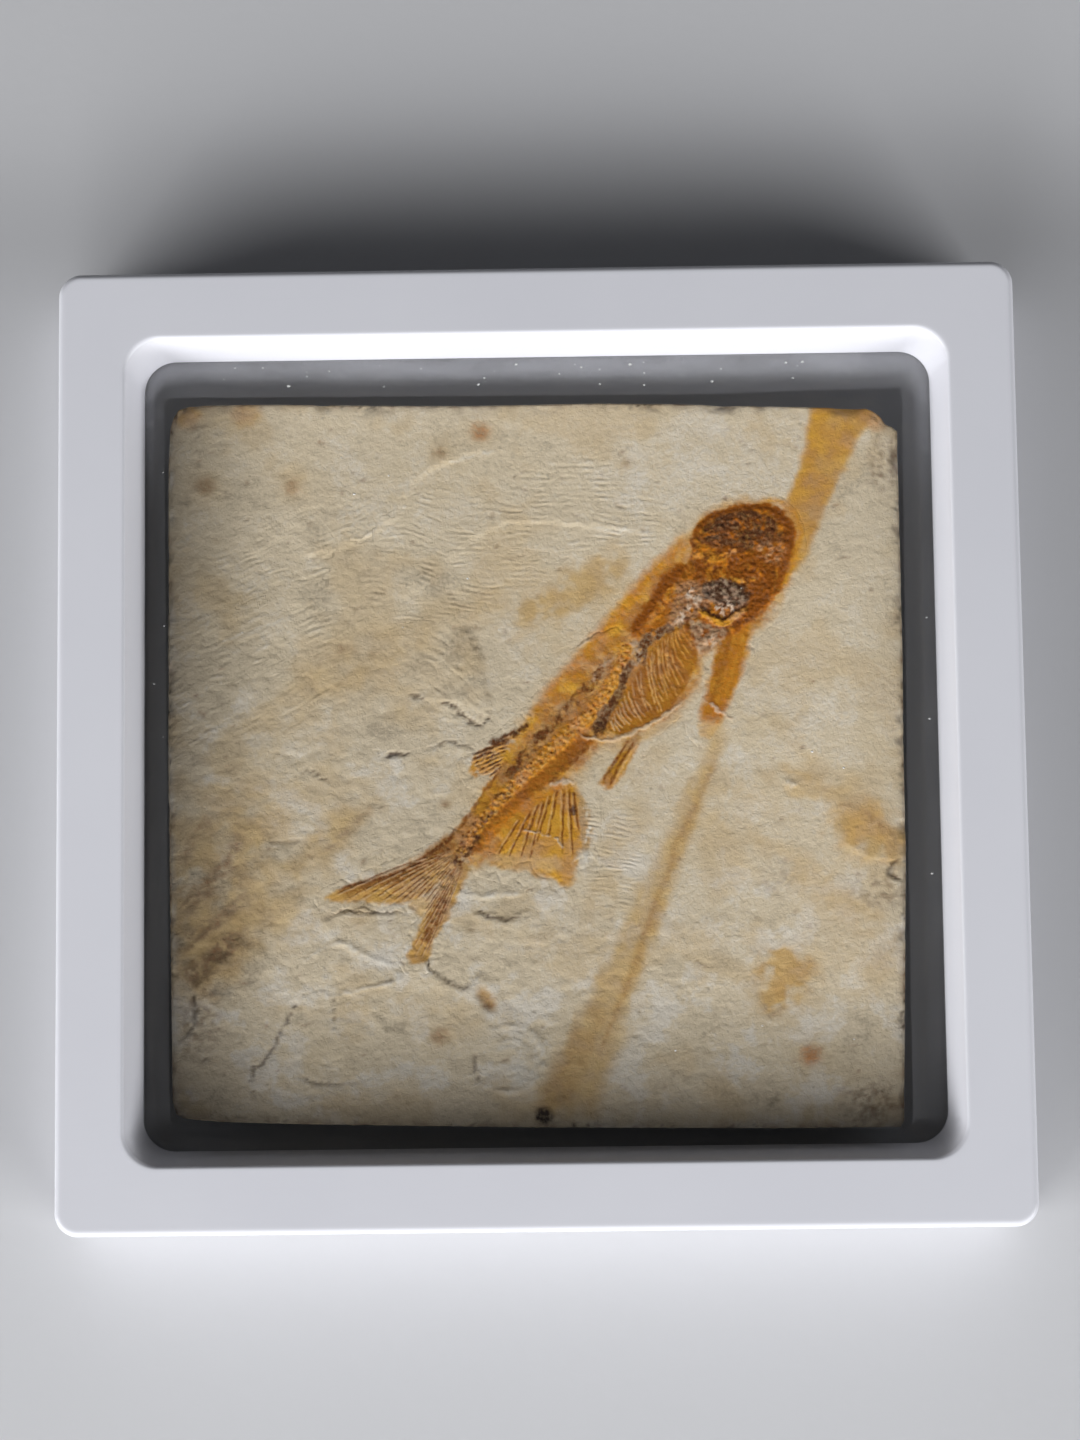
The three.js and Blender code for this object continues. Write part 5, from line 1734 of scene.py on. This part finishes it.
class FOSSIL_OT_frame_halves(bpy.types.Operator):
    """Build the two moulded halves of the display frame"""

    bl_idname = "fossil.frame_halves"
    bl_label = "Build frame halves"

    def execute(self, _context):
        material = white_plastic()
        for name, turned in (("front_frame", False), ("back_frame", True)):
            settle(build_frame_half(name, material, turned), name)
        return {"FINISHED"}


class FOSSIL_OT_films(bpy.types.Operator):
    """Stretch the two clear films across the frame"""

    bl_idname = "fossil.films"
    bl_label = "Build films"

    def execute(self, _context):
        material = clear_film()
        for name, turned in (("front_film", False), ("back_film", True)):
            settle(build_film(name, material, turned), name)
        return {"FINISHED"}


class FOSSIL_OT_slab(bpy.types.Operator):
    """Cut the limestone slab and mark its stains, cracks and ripples"""

    bl_idname = "fossil.slab"
    bl_label = "Build slab"

    def execute(self, _context):
        settle(build_slab(limestone()), "slab")
        return {"FINISHED"}


class FOSSIL_OT_fish(bpy.types.Operator):
    """Let the fish into the face of the slab"""

    bl_idname = "fossil.fish"
    bl_label = "Build fish"

    def execute(self, _context):
        settle(build_fish(limestone()))
        return {"FINISHED"}


class FOSSIL_OT_dust(bpy.types.Operator):
    """Scatter a little dust on the front film"""

    bl_idname = "fossil.dust"
    bl_label = "Scatter dust"

    def execute(self, _context):
        settle(build_dust(dust_lint()))
        return {"FINISHED"}


def add_floor():
    """A wide plain floor at the foot of the frame."""
    half = FLOOR_SIDE / MM / 2
    corners = np.array([(-half, -half, 0), (half, -half, 0), (half, half, 0), (-half, half, 0)])
    floor = new_piece("floor", corners, [np.array([[0, 1, 2, 3]])], pale_floor(), smooth=False)
    floor.location.z = CAD_BOX[0][2]


def add_lamp(options, name, turn, share):
    """One large soft lamp that faces the middle from its own side."""
    away = math.cos(options.lamp_height)
    turn = math.radians(turn)
    toward = Vector((-math.sin(turn) * away, -math.cos(turn) * away, math.sin(options.lamp_height)))
    light = bpy.data.lights.new(name, "AREA")
    light.shape = "RECTANGLE"
    light.size, light.size_y = LAMP_SIZE
    light.energy = options.lamp_power * share
    light.color = (0.97, 0.98, 1.0)
    lamp = bpy.data.objects.new(name, light)
    lamp.location = toward * LAMP_DISTANCE
    lamp.rotation_euler = toward.to_track_quat("Z", "Y").to_euler()
    bpy.context.scene.collection.objects.link(lamp)


def add_fill(options):
    """Even, slightly cool light from all round."""
    world = bpy.data.worlds.new("studio")
    world.use_nodes = True
    background = world.node_tree.nodes["Background"]
    background.inputs["Color"].default_value = colour(0.90, 0.93, 1.0)
    background.inputs["Strength"].default_value = options.fill_light
    bpy.context.scene.world = world


def add_camera():
    """The camera above the frame, tilted a little from its lower edge."""
    camera = bpy.data.cameras.new("camera")
    camera.lens = CAMERA_LENS
    camera.clip_start = 0.01
    holder = bpy.data.objects.new("camera", camera)
    tilt, roll, turn = CAMERA_TURNS
    axes = Matrix.Rotation(turn, 4, "Z") @ Matrix.Rotation(tilt, 4, "X") @ Matrix.Rotation(roll, 4, "Y")
    holder.matrix_world = Matrix.Translation(CAMERA_PLACE) @ axes
    bpy.context.scene.collection.objects.link(holder)
    bpy.context.scene.camera = holder


class FOSSIL_OT_stage(bpy.types.Operator):
    """Set the pale floor, the soft lamps and the camera"""

    bl_idname = "fossil.stage"
    bl_label = "Set the stage"

    def execute(self, _context):
        options = settings()
        add_floor()
        for lamp in LAMPS:
            add_lamp(options, *lamp)
        add_fill(options)
        add_camera()
        bpy.context.scene.view_settings.view_transform = "Standard"
        return {"FINISHED"}


BUILDERS = (FOSSIL_OT_stage, FOSSIL_OT_frame_halves, FOSSIL_OT_films, FOSSIL_OT_slab, FOSSIL_OT_fish,
            FOSSIL_OT_dust)


class FOSSIL_PT_builders(bpy.types.Panel):
    """Lists the settings and the builders in the order to run them"""

    bl_label = "Fossil slab"
    bl_space_type = "VIEW_3D"
    bl_region_type = "UI"
    bl_category = "Fossil slab"

    def draw(self, context):
        options = context.scene.fossil_slab
        for name in options.__annotations__:
            self.layout.prop(options, name)
        for builder in BUILDERS:
            self.layout.operator(builder.bl_idname)


CLASSES = (FossilSettings, *BUILDERS, FOSSIL_PT_builders)


def register():
    """Make the settings, the builders and the panel known."""
    for item in CLASSES:
        bpy.utils.register_class(item)
    bpy.types.Scene.fossil_slab = PointerProperty(type=FossilSettings)


def unregister():
    """Take them away again, in the opposite order."""
    del bpy.types.Scene.fossil_slab
    for item in reversed(CLASSES):
        bpy.utils.unregister_class(item)


def main():
    """Run every builder in order."""
    register()
    for builder in BUILDERS:
        group, name = builder.bl_idname.split(".")
        result = getattr(getattr(bpy.ops, group), name)()
        if result != {"FINISHED"}:
            raise RuntimeError(f"{builder.bl_label} did not finish")


if __name__ == "__main__":
    main()
